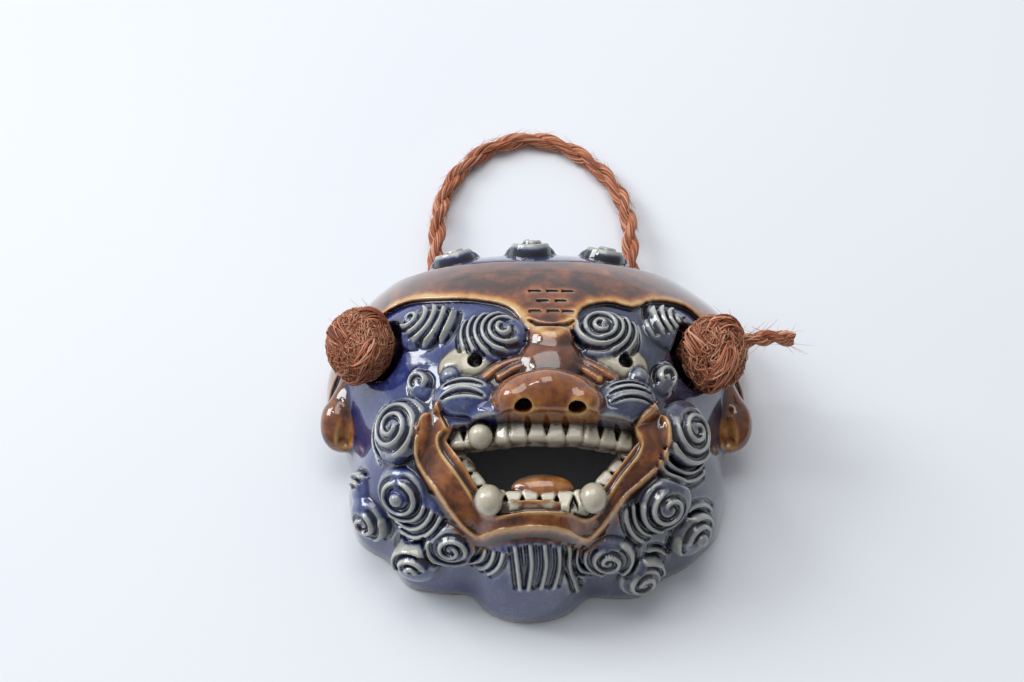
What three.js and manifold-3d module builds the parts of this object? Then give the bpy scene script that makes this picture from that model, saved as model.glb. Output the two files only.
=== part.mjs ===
// Lion dog mask: a glazed stoneware wall mask that hangs by a palm rope through its ears.
// Millimetres. It lies on its back rim: +Z comes out of the face and +Y points to the rope loop.
// The origin is on the table, under the middle of the mask's own box.

import * as THREE from 'three';
import { mergeVertices } from 'three/addons/utils/BufferGeometryUtils.js';
import Module from 'manifold-3d';

const wasm = await Module();
wasm.setup();

// Driving dimensions of the mask.
const SPAN = 160; // ear tip to ear tip
const RIM_HEIGHT = 5; // straight side above the back rim
const CROWN = 57; // rise of the face above the straight side
const WALL = 6; // thickness of the fired clay
const CAP_STEP = 1.8; // how far the forehead cap stands above the skin beside it
const RIDGE = 2.2; // width of a carved ridge
const STROKE = 1.4; // width of an incised stroke on the forehead
const STROKE_LENGTH = 4.2;
const STROKE_DEPTH = 0.9;
const NOSTRIL = 6.6; // bore of a nostril
const PUPIL = 5.2; // bore of a pupil
const TOOTH = 4.6; // width of a tooth
const TOOTH_GAP = 1.4;

// Driving dimensions of the rope and its knots.
const ROPE = 6.5; // diameter
const EASE = 0.6; // room round the rope in its holes
const GAP = 0.3; // room between touching pieces
const POCKET_SHARE = 0.8; // clay left behind a knot's pocket, as a share of the wall
const POCKET_SHIFT = 5; // how much wider than its knot a pocket is
const NOTCH_ROOM = 1.5; // room round a rope leg in the back rim
const KNOT = new THREE.Vector3(12, 14, 11); // half sizes of a stopper knot
const TAIL = 5.6; // diameter of the loose tail

// The face is drawn 160 mm wide with a crown of 57 mm, and keeps its proportions when either changes.
const DRAWN_SPAN = 160;
const DRAWN_CROWN = 57;
const UNIT = SPAN / DRAWN_SPAN;
const LIFT = CROWN / DRAWN_CROWN;
const TOP_HALF = 79 * UNIT; // half width through the ears
const LOW_HALF = 66 * UNIT; // half width through the jaw
const TOP_REACH = 77 * UNIT; // centre to the top rim
const LOW_REACH = 63 * UNIT; // centre to the rim beside the beard
// Where the rim swells behind the beard, a curl or the right temple, and where it draws in between
// them: angle and spread in radians, rise in drawn millimetres.
const SWELLS = [[-1.62, 6.5, 0.3], [-2.8, 4.5, 0.15], [-2.6, 5, 0.13], [-2.27, 3.5, 0.11],
  [-1.96, -3.5, 0.1], [-1.27, -3.5, 0.1], [-1, 2.5, 0.1], [-0.72, 2.5, 0.12], [-0.52, 5, 0.14],
  [-0.3, 4.5, 0.15], [0.52, 3.5, 0.2]];
const PLAN_POWER = 2.5; // 2 would be an ellipse
const CROWN_POWER = 1.55;
const BROW_SIDE_POWER = 2.5; // how square the sides rise, at the forehead
const CHIN_SIDE_POWER = 3.2; // and at the chin

const UPPER_SPOKES = 20;
const LOWER_SPOKES = 32;
const SLIM = 0.17; // how far a join's slivers may move when they are folded away
const DEGREE = Math.PI / 180;

const v3 = (x, y, z) => new THREE.Vector3(x, y, z);
const drawn = ([x, y, z]) => v3(x * UNIT, y * UNIT, z * LIFT);

// The smooth skin of the face that every carving sits on, from the jaw at 0 to the forehead at 1.
const upperShare = (angle) => THREE.MathUtils.smoothstep(Math.sin(angle), -0.3, 0.35);
const sidePower = (angle) => THREE.MathUtils.lerp(CHIN_SIDE_POWER, BROW_SIDE_POWER, upperShare(angle));

function planRadius(angle, inset) {
  const across = Math.cos(angle);
  const along = Math.sin(angle);
  const half = THREE.MathUtils.lerp(LOW_HALF, TOP_HALF, upperShare(angle)) - inset;
  const reach = (along > 0 ? TOP_REACH : LOW_REACH) - inset;
  const oval = (Math.abs(across) / half) ** PLAN_POWER + (Math.abs(along) / reach) ** PLAN_POWER;
  return SWELLS.reduce((sum, [middle, rise, spread]) => {
    const turned = THREE.MathUtils.euclideanModulo(angle - middle + Math.PI, 2 * Math.PI) - Math.PI;
    return sum + rise * UNIT * Math.exp(-((turned / spread) ** 2));
  }, oval ** (-1 / PLAN_POWER));
}

// Above zero outside the skin, below zero inside it.
function skinValue(p) {
  const angle = Math.atan2(p.y, p.x);
  const share = Math.hypot(p.x, p.y) / planRadius(angle, 0);
  const lift = Math.max(p.z - RIM_HEIGHT, 0) / CROWN;
  return share ** sidePower(angle) + lift ** CROWN_POWER - 1;
}

function skinNormal(p) {
  const step = 0.4;
  const slope = (d) => skinValue(p.clone().add(d)) - skinValue(p.clone().sub(d));
  return v3(slope(v3(step, 0, 0)), slope(v3(0, step, 0)), slope(v3(0, 0, step))).normalize();
}

// Where the line from a point along a direction meets the skin, as a distance.
function reachSkin(from, direction, low, high) {
  let near = low;
  let far = high;
  for (let i = 0; i < 30; i += 1) {
    const middle = (near + far) / 2;
    if (skinValue(from.clone().addScaledVector(direction, middle)) > 0) far = middle;
    else near = middle;
  }
  return near;
}

// The skin point in the direction of a drawn point, seen from the middle of the back.
function onSkin(place) {
  const aim = drawn(place);
  return aim.clone().multiplyScalar(reachSkin(v3(0, 0, 0), aim, 0.2, 3));
}

// Solids are made by joining rings of points, or from three.js geometries.
function solidFromGeometry(geometry) {
  const plain = geometry.clone();
  plain.deleteAttribute('normal');
  plain.deleteAttribute('uv');
  const merged = mergeVertices(plain, 1e-4);
  return new wasm.Manifold(new wasm.Mesh({
    numProp: 3,
    vertProperties: new Float32Array(merged.attributes.position.array),
    triVerts: new Uint32Array(merged.index.array),
  }));
}

function ringSolid(rings, closed) {
  const count = rings[0].length;
  const points = rings.flat();
  const faces = [];
  const links = closed ? rings.length : rings.length - 1;
  for (let i = 0; i < links; i += 1) {
    const here = i * count;
    const next = ((i + 1) % rings.length) * count;
    for (let j = 0; j < count; j += 1) {
      const k = (j + 1) % count;
      faces.push(here + j, here + k, next + k, here + j, next + k, next + j);
    }
  }
  if (!closed) {
    const last = (rings.length - 1) * count;
    const middle = (ring) => ring.reduce((sum, p) => sum.add(p), v3(0, 0, 0)).divideScalar(count);
    points.push(middle(rings[0]), middle(rings[rings.length - 1]));
    for (let j = 0; j < count; j += 1) {
      const k = (j + 1) % count;
      faces.push(points.length - 2, k, j, points.length - 1, last + j, last + k);
    }
  }
  let volume = 0;
  for (let i = 0; i < faces.length; i += 3) {
    volume += points[faces[i]].dot(points[faces[i + 1]].clone().cross(points[faces[i + 2]]));
  }
  if (volume < 0) faces.reverse();
  const geometry = new THREE.BufferGeometry().setFromPoints(points);
  geometry.setIndex(faces);
  return solidFromGeometry(geometry);
}

const join = (solids) => solids.reduce((sum, solid) => sum.add(solid));

// An ellipsoid with half sizes along three given directions.
function ellipsoid(centre, halves, axes = [v3(1, 0, 0), v3(0, 1, 0), v3(0, 0, 1)], around = 10, down = 6) {
  const geometry = new THREE.SphereGeometry(1, around, down);
  const frame = new THREE.Matrix4().makeBasis(
    axes[0].clone().multiplyScalar(halves.x),
    axes[1].clone().multiplyScalar(halves.y),
    axes[2].clone().multiplyScalar(halves.z),
  ).setPosition(centre);
  return solidFromGeometry(geometry.applyMatrix4(frame));
}

function box(centre, size, axes = [v3(1, 0, 0), v3(0, 1, 0), v3(0, 0, 1)]) {
  const frame = new THREE.Matrix4().makeBasis(...axes).setPosition(centre);
  return solidFromGeometry(new THREE.BoxGeometry(size.x, size.y, size.z).applyMatrix4(frame));
}

function bore(from, to, diameter, sides = 12) {
  const way = to.clone().sub(from);
  const turn = new THREE.Quaternion().setFromUnitVectors(v3(0, 1, 0), way.clone().normalize());
  const geometry = new THREE.CylinderGeometry(diameter / 2, diameter / 2, way.length(), sides);
  const middle = from.clone().addScaledVector(way, 0.5);
  return solidFromGeometry(geometry.applyQuaternion(turn).translate(...middle));
}

// A ridge that lies on a surface: a small round section carried along points, with the surface's normals.
function ridge(points, normals, width, closed = false, height = width, sides = 3) {
  const rings = points.map((point, i) => {
    const before = points[closed ? (i + points.length - 1) % points.length : Math.max(i - 1, 0)];
    const after = points[closed ? (i + 1) % points.length : Math.min(i + 1, points.length - 1)];
    const along = after.clone().sub(before).normalize();
    const side = along.clone().cross(normals[i]).normalize();
    const up = side.clone().cross(along);
    const end = !closed && (i === 0 || i === points.length - 1) ? 0.45 : 1;
    return Array.from({ length: sides }, (_, j) => {
      const angle = (j / sides) * 2 * Math.PI + Math.PI / 2;
      return point.clone()
        .addScaledVector(side, Math.cos(angle) * (width / 2) * end)
        .addScaledVector(up, Math.sin(angle) * (height / 2) * end);
    });
  });
  return ringSolid(rings, closed);
}

// A lump on the skin with its own flat frame, which its spirals and arcs are drawn in.
class Lump {
  constructor({ at, half, height, tilt = 0 }) {
    this.centre = onSkin(at);
    this.normal = skinNormal(this.centre);
    this.across = v3(1, 0, 0).addScaledVector(this.normal, -this.normal.x).normalize();
    this.across.applyAxisAngle(this.normal, tilt * DEGREE);
    this.up = this.normal.clone().cross(this.across);
    this.half = v3(half[0] * UNIT, half[1] * UNIT, height * UNIT);
  }

  get solid() {
    return ellipsoid(this.centre, this.half, [this.across, this.up, this.normal]);
  }

  // The surface point above a place in the lump's flat frame: on the lump or on the skin beside it.
  surface(x, y) {
    const base = this.centre.clone().addScaledVector(this.across, x).addScaledVector(this.up, y);
    const left = 1 - (x / this.half.x) ** 2 - (y / this.half.y) ** 2;
    const dome = left > 0 ? this.half.z * Math.sqrt(left) : -Infinity;
    return base.addScaledVector(this.normal, Math.max(dome, reachSkin(base, this.normal, -25, 12)));
  }

  // A ridge from one radius and angle to another, in drawn millimetres and degrees.
  arc([fromRadius, fromAngle, toRadius, toAngle], steps = 0) {
    const count = steps || Math.max(3, Math.ceil(Math.abs(toAngle - fromAngle) / 45));
    const points = [];
    for (let i = 0; i <= count; i += 1) {
      const radius = THREE.MathUtils.lerp(fromRadius, toRadius, i / count) * UNIT;
      const angle = THREE.MathUtils.lerp(fromAngle, toAngle, i / count) * DEGREE;
      points.push(this.surface(radius * Math.cos(angle), radius * Math.sin(angle)));
    }
    return ridge(points, points.map(() => this.normal), RIDGE);
  }

  // The stripe between two places of the flat frame, bowed sideways by a share of its length.
  stripe([x0, y0, x1, y1], bow = 0, steps = 3) {
    const points = [];
    for (let i = 0; i <= steps; i += 1) {
      const t = i / steps;
      const swell = 4 * t * (1 - t) * bow;
      const x = THREE.MathUtils.lerp(x0, x1, t) - (y1 - y0) * swell;
      const y = THREE.MathUtils.lerp(y0, y1, t) + (x1 - x0) * swell;
      points.push(this.surface(x * UNIT, y * UNIT));
    }
    return ridge(points, points.map(() => this.normal), RIDGE);
  }
}

// Mane curls: arcs are [radius, angle, radius, angle], and each spiral is one long arc.
const CURLS = [
  { at: [-47.6, -17.9, 50.2], half: [12.5, 14], height: 6, arcs: [[2.5, 20, 11.5, -660]] },
  { at: [-46.9, -36.9, 39.1], half: [10, 10], height: 5, knob: 2.8, arcs: [[6.2, 100, 6.8, 440],
    [10, -115, 15.6, 0], [14.2, -98, 20, -20]] },
  { at: [-59.7, -38.6, 21.9], half: [8, 8.5], height: 5, arcs: [[1.8, 90, 5.2, 470]] },
  { at: [-43.1, -54.6, 20.4], half: [8.5, 8.5], height: 6, arcs: [[5.5, 20, 5.5, 175]] },
  { at: [-30.1, -52.6, 31.1], half: [9, 8.5], height: 4, arcs: [[2, 60, 6, -400], [14.3, 7, 10.9, -51]] },
  { at: [51.8, -17.3, 46.6], half: [12.5, 13], height: 6, arcs: [[2, 120, 9, -500],
    [12, -150, 11.5, -30], [16, -135, 15.5, -45]] },
  { at: [44.2, -41, 38.9], half: [10.5, 10.5], height: 5, arcs: [[3, 150, 8, -260],
    [12.5, 168, 12.5, 250]] },
  { at: [54.8, -43.7, 20.8], half: [9, 9], height: 5, knob: 3, arcs: [[6, 180, 6, -20],
    [10.5, 100, 10.5, 5]] },
  { at: [36.6, -58.2, 16.3], half: [8.5, 8.5], height: 5, arcs: [[2, 180, 5.6, -220]] },
  { at: [25, -55.6, 28], half: [9, 8.5], height: 4, arcs: [[2, 220, 7.4, -250], [13, 156, 10, 245]] },
  { at: [-30.5, 66, 27], half: [9.5, 8], height: 6, arcs: [[6, 195, 6, 345]] },
  { at: [-2, 66, 32], half: [9, 8], height: 7, arcs: [[6, 195, 6, 345]] },
  { at: [25.5, 65.5, 28], half: [9.5, 8], height: 6, arcs: [[6, 195, 6, 345]] },
  { at: [-40.8, -2.1, 54.4], half: [4.5, 7], height: 3.5, tilt: 20 },
  { at: [44.4, 1.4, 52.5], half: [4.5, 7], height: 3.5, tilt: -15 },
  { at: [-62.7, -29.3, 25.2], half: [6, 8], height: 3 },
];

// Brows: an inner and an outer lump on each side, with the stripes that meet between them.
const BROWS = [
  { at: [-12.4, 13.3, 61.3], half: [13, 12.5], height: 5.5, arcs: [[1.5, 30, 5.6, -330],
    [9.4, 75, 9.4, 285], [14, 105, 14, 200]] },
  { at: [-41.8, 25, 51.9], half: [11, 9.5], height: 4.5, arcs: [[1.5, 180, 5.4, -170],
    [9.6, 45, 9.6, -110], [13.8, 20, 13.8, -80]] },
  { at: [21.3, 16.8, 59.9], half: [12.5, 12], height: 5.5, arcs: [[2.2, 0, 6, 330], [9.6, 85, 9.6, -95],
    [13.6, 60, 13.6, -60]] },
  { at: [50.4, 26.3, 46.5], half: [11, 9], height: 4.5, arcs: [[3.4, 160, 3.4, 420], [8, 115, 8, 230],
    [12.4, 118, 12.4, 218]] },
];

const PADS = [
  { at: [-25, -10.4, 60.2], half: [11.5, 9], height: 6, tilt: -4,
    stripes: [[-8.5, 2.6, 8, 3], [-8.5, -3, 8.5, -2]] },
  { at: [30.8, -11.2, 58.6], half: [11.5, 9], height: 6, tilt: 8,
    stripes: [[-8, 3, 8.5, 2.6], [-8.5, -2, 8.5, -3]] },
];

const PLAIN_LUMPS = [
  { at: [-12.6, -18.4, 61], half: [12, 5.4], height: 5, tilt: -12 },
  { at: [22.1, -19, 59.7], half: [12, 5.4], height: 5, tilt: 12 },
  { at: [-29.9, -2.5, 59.2], half: [4, 4], height: 5 },
  { at: [34.8, -1.8, 57.5], half: [4.2, 4.2], height: 5 },
  { at: [-23.8, 5.5, 60.2], half: [9.5, 9], height: 2.6, tilt: 20 },
  { at: [29.5, 6.3, 58.9], half: [9.5, 9], height: 2.6, tilt: -20 },
];

// Nose, from the bridge below the forehead shelf down to the nostrils.
const NOSE = [
  { at: [4.8, 12, 62], half: [8.5, 6], height: 5 },
  { at: [4.6, 2.5, 62], half: [11, 10], height: 4.5 },
  { at: [3.2, -11.5, 62], half: [18.5, 9.5], height: 12.5 },
  { at: [3.4, -10.5, 62], half: [10.5, 8], height: 13.5 },
  { at: [-7.6, -14, 62], half: [8.6, 7.6], height: 11.5 },
  { at: [14.4, -14.4, 61.5], half: [8.6, 7.6], height: 11.5 },
];
const NOSTRIL_PLACES = [[-5, -19.5, 70], [13.4, -20, 69.5]];
const NOSE_TARGET = [[-6, -8, 62], [12.6, -8, 61.5]];
const PUPIL_PLACES = [[-21.4, 2.8, 60.8], [30.1, 3.6, 58.9]];
const WINGS = [
  [[2, 5, 65], [-8.1, 3.2, 64.9], [-14.5, 0.3, 64.6], [-20, -4.6, 62.8]],
  [[7.5, 5, 65], [16.3, 2.9, 64.4], [22.1, -0.1, 63], [27, -3.2, 60.5]],
];

// The cap's lower edge runs above the brows and dips to the bridge of the nose.
const CAP_EDGE = [[-86, 6], [-66, 26], [-57, 34.5], [-48.6, 36.7], [-34.1, 33.3], [-20, 30],
  [-9.5, 25.5], [-3.3, 17.3], [4.8, 11.5], [12.7, 16.6], [15.7, 25.4], [25.6, 29.9], [34.4, 28.8],
  [41.9, 34.4], [55, 36.5], [65, 27], [86, 6]];
const CAP_TOP = [[84, 46], [62, 60], [42, 55], [20, 53], [0, 52.5], [-22, 53], [-44, 55], [-62, 60],
  [-84, 46]];

// The mouth goes right through the clay. Its corners are listed clockwise from the upper left.
const MOUTH = [[-29, -20], [-8, -19.5], [18, -19.5], [33, -20], [34.5, -24.5], [18.5, -45], [-17, -45],
  [-31.5, -24.5]];
// The lips are open lines, from the left corner of the mouth round the jaw to the right one.
const LIP_OUTER = [[-35, -13], [-40, -17.2], [-42, -24], [-41.5, -30], [-29.1, -47.2], [-22, -52.1],
  [-12.3, -53.4], [-1.9, -53.4], [8.5, -53.2], [18.9, -52.6], [32.1, -40.5], [42.8, -30.5],
  [45.5, -23.2], [44.3, -16.2], [39.5, -11.9]];
const LIP_INNER = [[-29.9, -21], [-33.8, -23], [-34.3, -26.5], [-24.8, -40.2], [-16.5, -48.6],
  [-1.9, -49.2], [12.7, -48.4], [19.1, -48], [29.5, -35.6], [34.8, -29], [35.7, -25], [32.7, -21.4]];

function outer() {
  return skinDome(0, CROWN, RIM_HEIGHT, 0, [UPPER_SPOKES, LOWER_SPOKES], 8);
}

// The cavity is the same form, one wall smaller, and runs out below the rim.
function cavity() {
  return skinDome(WALL, CROWN - WALL / 2, RIM_HEIGHT - WALL / 2, -WALL, [14, 18], 5);
}

function skinDome(inset, rise, sideTop, foot, [upper, lower], steps) {
  const ringAt = (turn, z) => Array.from({ length: upper + lower }, (_, i) => {
    const angle = (i < upper ? i / upper : 1 + (i - upper) / lower) * Math.PI;
    const radius = planRadius(angle, inset) * Math.sin(turn) ** (2 / sidePower(angle));
    return v3(radius * Math.cos(angle), radius * Math.sin(angle), z);
  });
  const rings = [];
  for (let i = 0; i <= steps; i += 1) {
    const turn = Math.max(i / steps, 0.04) * (Math.PI / 2);
    rings.push(ringAt(turn, sideTop + rise * Math.max(Math.cos(turn), 0) ** (2 / CROWN_POWER)));
  }
  rings.push(ringAt(Math.PI / 2, foot));
  return ringSolid(rings, false);
}

function prism(outline, low, high) {
  const shape = new THREE.Shape(outline.map(([x, y]) => new THREE.Vector2(x * UNIT, y * UNIT)));
  const geometry = new THREE.ExtrudeGeometry(shape, { depth: high - low, bevelEnabled: false });
  return solidFromGeometry(geometry.translate(0, 0, low));
}

const PAST = 120 * UNIT; // clears the tallest form

function cap() {
  const dome = skinDome(-CAP_STEP, CROWN + CAP_STEP / 2, RIM_HEIGHT + CAP_STEP / 2, 0, [22, 14], 8);
  const edge = new THREE.SplineCurve(CAP_EDGE.map((p) => new THREE.Vector2(...p))).getPoints(26);
  return dome.intersect(prism([...edge.map((p) => [p.x, p.y]), ...CAP_TOP], RIM_HEIGHT, PAST));
}

// Points over a line that is drawn in the plan, raised a little above the skin.
function skinLine(outline, count, rise) {
  const corners = outline.map(([x, y]) => v3(x, y, 0));
  const curve = new THREE.CatmullRomCurve3(corners, false, 'catmullrom', 0.35);
  return curve.getSpacedPoints(count).map((p) => {
    const base = v3(p.x * UNIT, p.y * UNIT, 0);
    return base.setZ(reachSkin(base, v3(0, 0, 1), 0, PAST) + rise);
  });
}

const LIP_STEPS = 22;
const LIP_BAND = 8; // width of a lip
const LIP_EDGE = 2.4; // width of the ridge along each of its edges
const LIP_HEIGHT = 4;
const LIP_RISE = 0.9; // how far the edges' middle lies above the skin
const LIP_DIP = 0.6; // how much lower the band lies between them

// The lip is a low raised band with a thin ridge along both of its edges.
function lips() {
  const outside = skinLine(LIP_OUTER, LIP_STEPS, LIP_RISE * UNIT);
  const inside = skinLine(LIP_INNER, LIP_STEPS, LIP_RISE * UNIT);
  const middle = outside.map((p, i) => p.clone().lerp(inside[i], 0.5).sub(v3(0, 0, LIP_DIP * UNIT)));
  const laid = (points, width, sides) =>
    ridge(points, points.map(skinNormal), width * UNIT, false, LIP_HEIGHT * UNIT, sides);
  return [laid(middle, LIP_BAND, 5), laid(outside, LIP_EDGE, 3), laid(inside, LIP_EDGE, 3)];
}

// Beard hair: ridges that gather from under the lip to the tip.
function beard() {
  const hairs = [];
  for (let i = 0; i < 5; i += 1) {
    const top = -7.3 + i * 5;
    const low = -3 + (top - 2.7) * 0.45;
    const points = [];
    for (let j = 0; j <= 3; j += 1) {
      const t = j / 3;
      const across = THREE.MathUtils.lerp(top, low, t ** 1.4);
      points.push(onSkin([across, -56 - 12 * t, THREE.MathUtils.lerp(38, 10, t)]));
    }
    hairs.push(ridge(points, points.map(skinNormal), RIDGE));
  }
  return hairs;
}

const EAR_FLATNESS = 0.75; // its thickness over its width

// Ears: flaps that hang beside the cheeks, narrow at the top and wide at the round tip.
function ear(side) {
  const spine = [[64.5, 24, 26], [66, 15, 22], [68.5, 6, 19], [71, -1, 17], [71.8, -6, 15.5]];
  const wide = [4.8, 6, 7.8, 9.4, 8.4];
  const tipStart = 0.76; // where the round tip begins
  const curve = new THREE.CatmullRomCurve3(spine.map(([x, y, z]) => drawn([side * x, y, z])));
  const steps = 8;
  const rings = Array.from({ length: steps + 1 }, (_, i) => {
    const t = 1 - (1 - i / steps) ** 1.6;
    const place = Math.min(t * (wide.length - 1), wide.length - 1.001);
    const low = Math.floor(place);
    const past = Math.max(t - tipStart, 0) / (1 - tipStart);
    const round = Math.sqrt(1.01 - past ** 2) * UNIT;
    const across = THREE.MathUtils.lerp(wide[low], wide[low + 1], place - low) * round;
    const along = curve.getTangentAt(t);
    const out = v3(side, 0, 0.5).normalize();
    const normal = out.clone().cross(along).normalize();
    return Array.from({ length: 10 }, (_unused, j) => {
      const angle = (j / 10) * 2 * Math.PI;
      return curve.getPointAt(t)
        .addScaledVector(out, Math.cos(angle) * across)
        .addScaledVector(normal, Math.sin(angle) * across * EAR_FLATNESS);
    });
  });
  return ringSolid(rings, false);
}

// A row of teeth is one comb: a gum along the lip with a tooth standing out of it at each step.
// It runs from start to end, and its teeth point away from the lip, along inward.
function toothRow(from, to, inward, tall) {
  const start = drawn(from);
  const along = drawn(to).sub(start);
  const length = along.length();
  along.normalize();
  const into = v3(...inward).normalize();
  into.addScaledVector(along, -into.dot(along)).normalize();
  const front = along.clone().cross(into);
  const count = Math.max(1, Math.round(length / (TOOTH + TOOTH_GAP)));
  const pitch = length / count;
  const gum = tall * 0.62;
  const comb = new THREE.Shape();
  comb.moveTo(0, -1.5);
  comb.lineTo(0, gum);
  for (let i = 0; i < count; i += 1) {
    const middle = (i + 0.5) * pitch;
    const half = (pitch - TOOTH_GAP) / 2;
    comb.lineTo(middle - half, gum);
    comb.lineTo(middle - half * 0.8, tall);
    comb.lineTo(middle + half * 0.8, tall);
    comb.lineTo(middle + half, gum);
  }
  comb.lineTo(length, gum);
  comb.lineTo(length, -1.5);
  const depth = 8 * UNIT;
  const geometry = new THREE.ExtrudeGeometry(comb, { depth, bevelEnabled: false });
  geometry.translate(0, 0, front.z > 0 ? -depth : 0);
  geometry.applyMatrix4(new THREE.Matrix4().makeBasis(along, into, front).setPosition(start));
  return solidFromGeometry(geometry);
}

function teeth() {
  return [
    toothRow([-31, -19.8, 53], [-10, -19.8, 59], [0, -1, -0.1], 6 * UNIT),
    toothRow([-10, -19.8, 59], [16, -19.8, 58.5], [0, -1, -0.1], 5.6 * UNIT),
    toothRow([16, -19.8, 58.5], [33.5, -20, 52], [0, -1, -0.1], 6 * UNIT),
    toothRow([-32, -25, 49.5], [-18, -45, 49], [0.82, 0.57, 0], 5 * UNIT),
    toothRow([-17, -45.6, 50.6], [18, -45.6, 50.6], [0, 1, 0], 5 * UNIT),
    toothRow([19.5, -44.6, 49], [35, -25, 49], [-0.8, 0.6, 0], 5 * UNIT),
    ellipsoid(drawn([-19.8, -24, 57.5]), v3(4.4, 4.4, 5).multiplyScalar(UNIT)),
    ellipsoid(drawn([-16.8, -44.2, 49.4]), v3(5.4, 5.8, 5.6).multiplyScalar(UNIT)),
    ellipsoid(drawn([18.8, -43, 49.2]), v3(5.2, 5.6, 5.6).multiplyScalar(UNIT)),
  ];
}

function tongue() {
  return ellipsoid(drawn([1, -39, 47.5]), v3(11, 6.4, 4).multiplyScalar(UNIT));
}

// Rows of short strokes where the forehead carries its incised mark: the row's y, then each stroke's x.
const STROKE_ROWS = [[33.5, [-0.8, 5.6, 11]], [28.5, [2, 8.6]], [23.5, [-0.8, 5.6, 11]]];

function strokes() {
  const cuts = [];
  for (const [y, xs] of STROKE_ROWS) {
    for (const x of xs) {
      const spot = drawn([x, y, 0]);
      spot.z = reachSkin(spot, v3(0, 0, 1), 0, PAST);
      const normal = skinNormal(spot);
      const across = v3(1, 0, 0).addScaledVector(normal, -normal.x).normalize();
      const axes = [across, normal.clone().cross(across), normal];
      spot.addScaledVector(normal, CAP_STEP);
      cuts.push(box(spot, v3(STROKE_LENGTH, STROKE, STROKE_DEPTH * 2), axes));
    }
  }
  return cuts;
}

// The rope's way: left knot, ear hole, inside the mask, notch, loop, notch, inside, ear hole, right knot.
const KNOT_LEFT = drawn([-63.5, 18.5, 46.5]);
const KNOT_RIGHT = drawn([63.5, 15.5, 46.5]);
const REST = 0.15; // room between the rope and the table
const ROUTE = [
  [-63.5, 18.5, 46.5], [-55.5, 22.5, 38], [-48, 29, 28.5], [-42.5, 45, 18], [-39.5, 62, 11],
  [-38.6, 78, 8.6], [-38.5, 92, 7.6], [-37.8, 102, 6.2], [-36.2, 111, 4.8], [-33.4, 118.5, 4],
  [-28.2, 126.5, 3.5], [-21, 133.6, 3.4], [-11.5, 138.6, 3.4], [-0.5, 140.4, 3.4], [10, 137.8, 3.4],
  [19.4, 131.8, 3.4], [27.6, 123.6, 3.8], [32.6, 115.5, 4.6], [35.9, 106, 6], [37.7, 94, 8.4],
  [37.4, 80, 10.4], [38.6, 62, 13], [43, 44, 19.5], [48.5, 27.5, 29.5], [56, 19.5, 38.5],
  [63.5, 15.5, 46.5],
].map((p) => drawn(p)).map((p) => p.setZ(Math.max(p.z, ROPE / 2 + REST)));
const LEFT_LEG = drawn([-38.6, 78, 8.6]); // where the legs pass the back rim
const RIGHT_LEG = drawn([37.4, 80, 10.4]);
const NOTCH_DEPTH = 34 * UNIT;
const ROPE_STEPS = 40;

function ropeCurve() {
  return new THREE.CatmullRomCurve3(ROUTE, false, 'centripetal');
}

function trimmed(curve, fromLength, toLength) {
  const total = curve.getLength();
  const points = [];
  for (let i = 0; i <= ROPE_STEPS; i += 1) {
    const length = THREE.MathUtils.lerp(fromLength, total - toLength, i / ROPE_STEPS);
    points.push(curve.getPointAt(length / total));
  }
  return new THREE.CatmullRomCurve3(points, false, 'centripetal');
}

function roundSection(diameter, sides) {
  return new THREE.Shape(Array.from({ length: sides }, (_, i) => {
    const angle = (i / sides) * 2 * Math.PI;
    return new THREE.Vector2(Math.cos(angle) * (diameter / 2), Math.sin(angle) * (diameter / 2));
  }));
}

// How far a knot reaches from its centre in a direction.
function knotReach(direction) {
  const d = direction.clone().normalize();
  return 1 / Math.hypot(d.x / KNOT.x, d.y / KNOT.y, d.z / KNOT.z);
}

// The rope's tube, or the way cut for it, between two distances from the knots' centres.
function ropeTube(diameter, fromLeft, fromRight) {
  return solidFromGeometry(new THREE.ExtrudeGeometry(roundSection(diameter, 8), {
    steps: ROPE_STEPS,
    extrudePath: trimmed(ropeCurve(), fromLeft, fromRight),
    bevelEnabled: false,
  }));
}

function ropeSolid() {
  const toLeft = knotReach(ROUTE[1].clone().sub(ROUTE[0])) + GAP;
  const toRight = knotReach(ROUTE[ROUTE.length - 2].clone().sub(ROUTE[ROUTE.length - 1])) + GAP;
  return ropeTube(ROPE, toLeft, toRight);
}

// A knot's outline, grown by the room or the wall round it.
function knotBall(centre, grow = 0, around = 12, down = 8) {
  return ellipsoid(centre, KNOT.clone().addScalar(grow), undefined, around, down);
}

// The right knot's tail leaves it sideways and ends in loose fibres.
function tailSolid() {
  const path = [[66, 17, 47], [76, 19.5, 48], [84, 22, 46], [92.5, 23, 43]].map(drawn);
  return solidFromGeometry(new THREE.ExtrudeGeometry(roundSection(TAIL, 8), {
    steps: 8,
    extrudePath: new THREE.CatmullRomCurve3(path),
    bevelEnabled: false,
  }));
}

// A knot's pocket in the clay is wider than the knot on the side of the face.
function pocket(centre, grow) {
  const beside = centre.clone().setX(centre.x - Math.sign(centre.x) * POCKET_SHIFT);
  return knotBall(centre, grow).add(knotBall(beside, grow, 10, 6));
}

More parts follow.
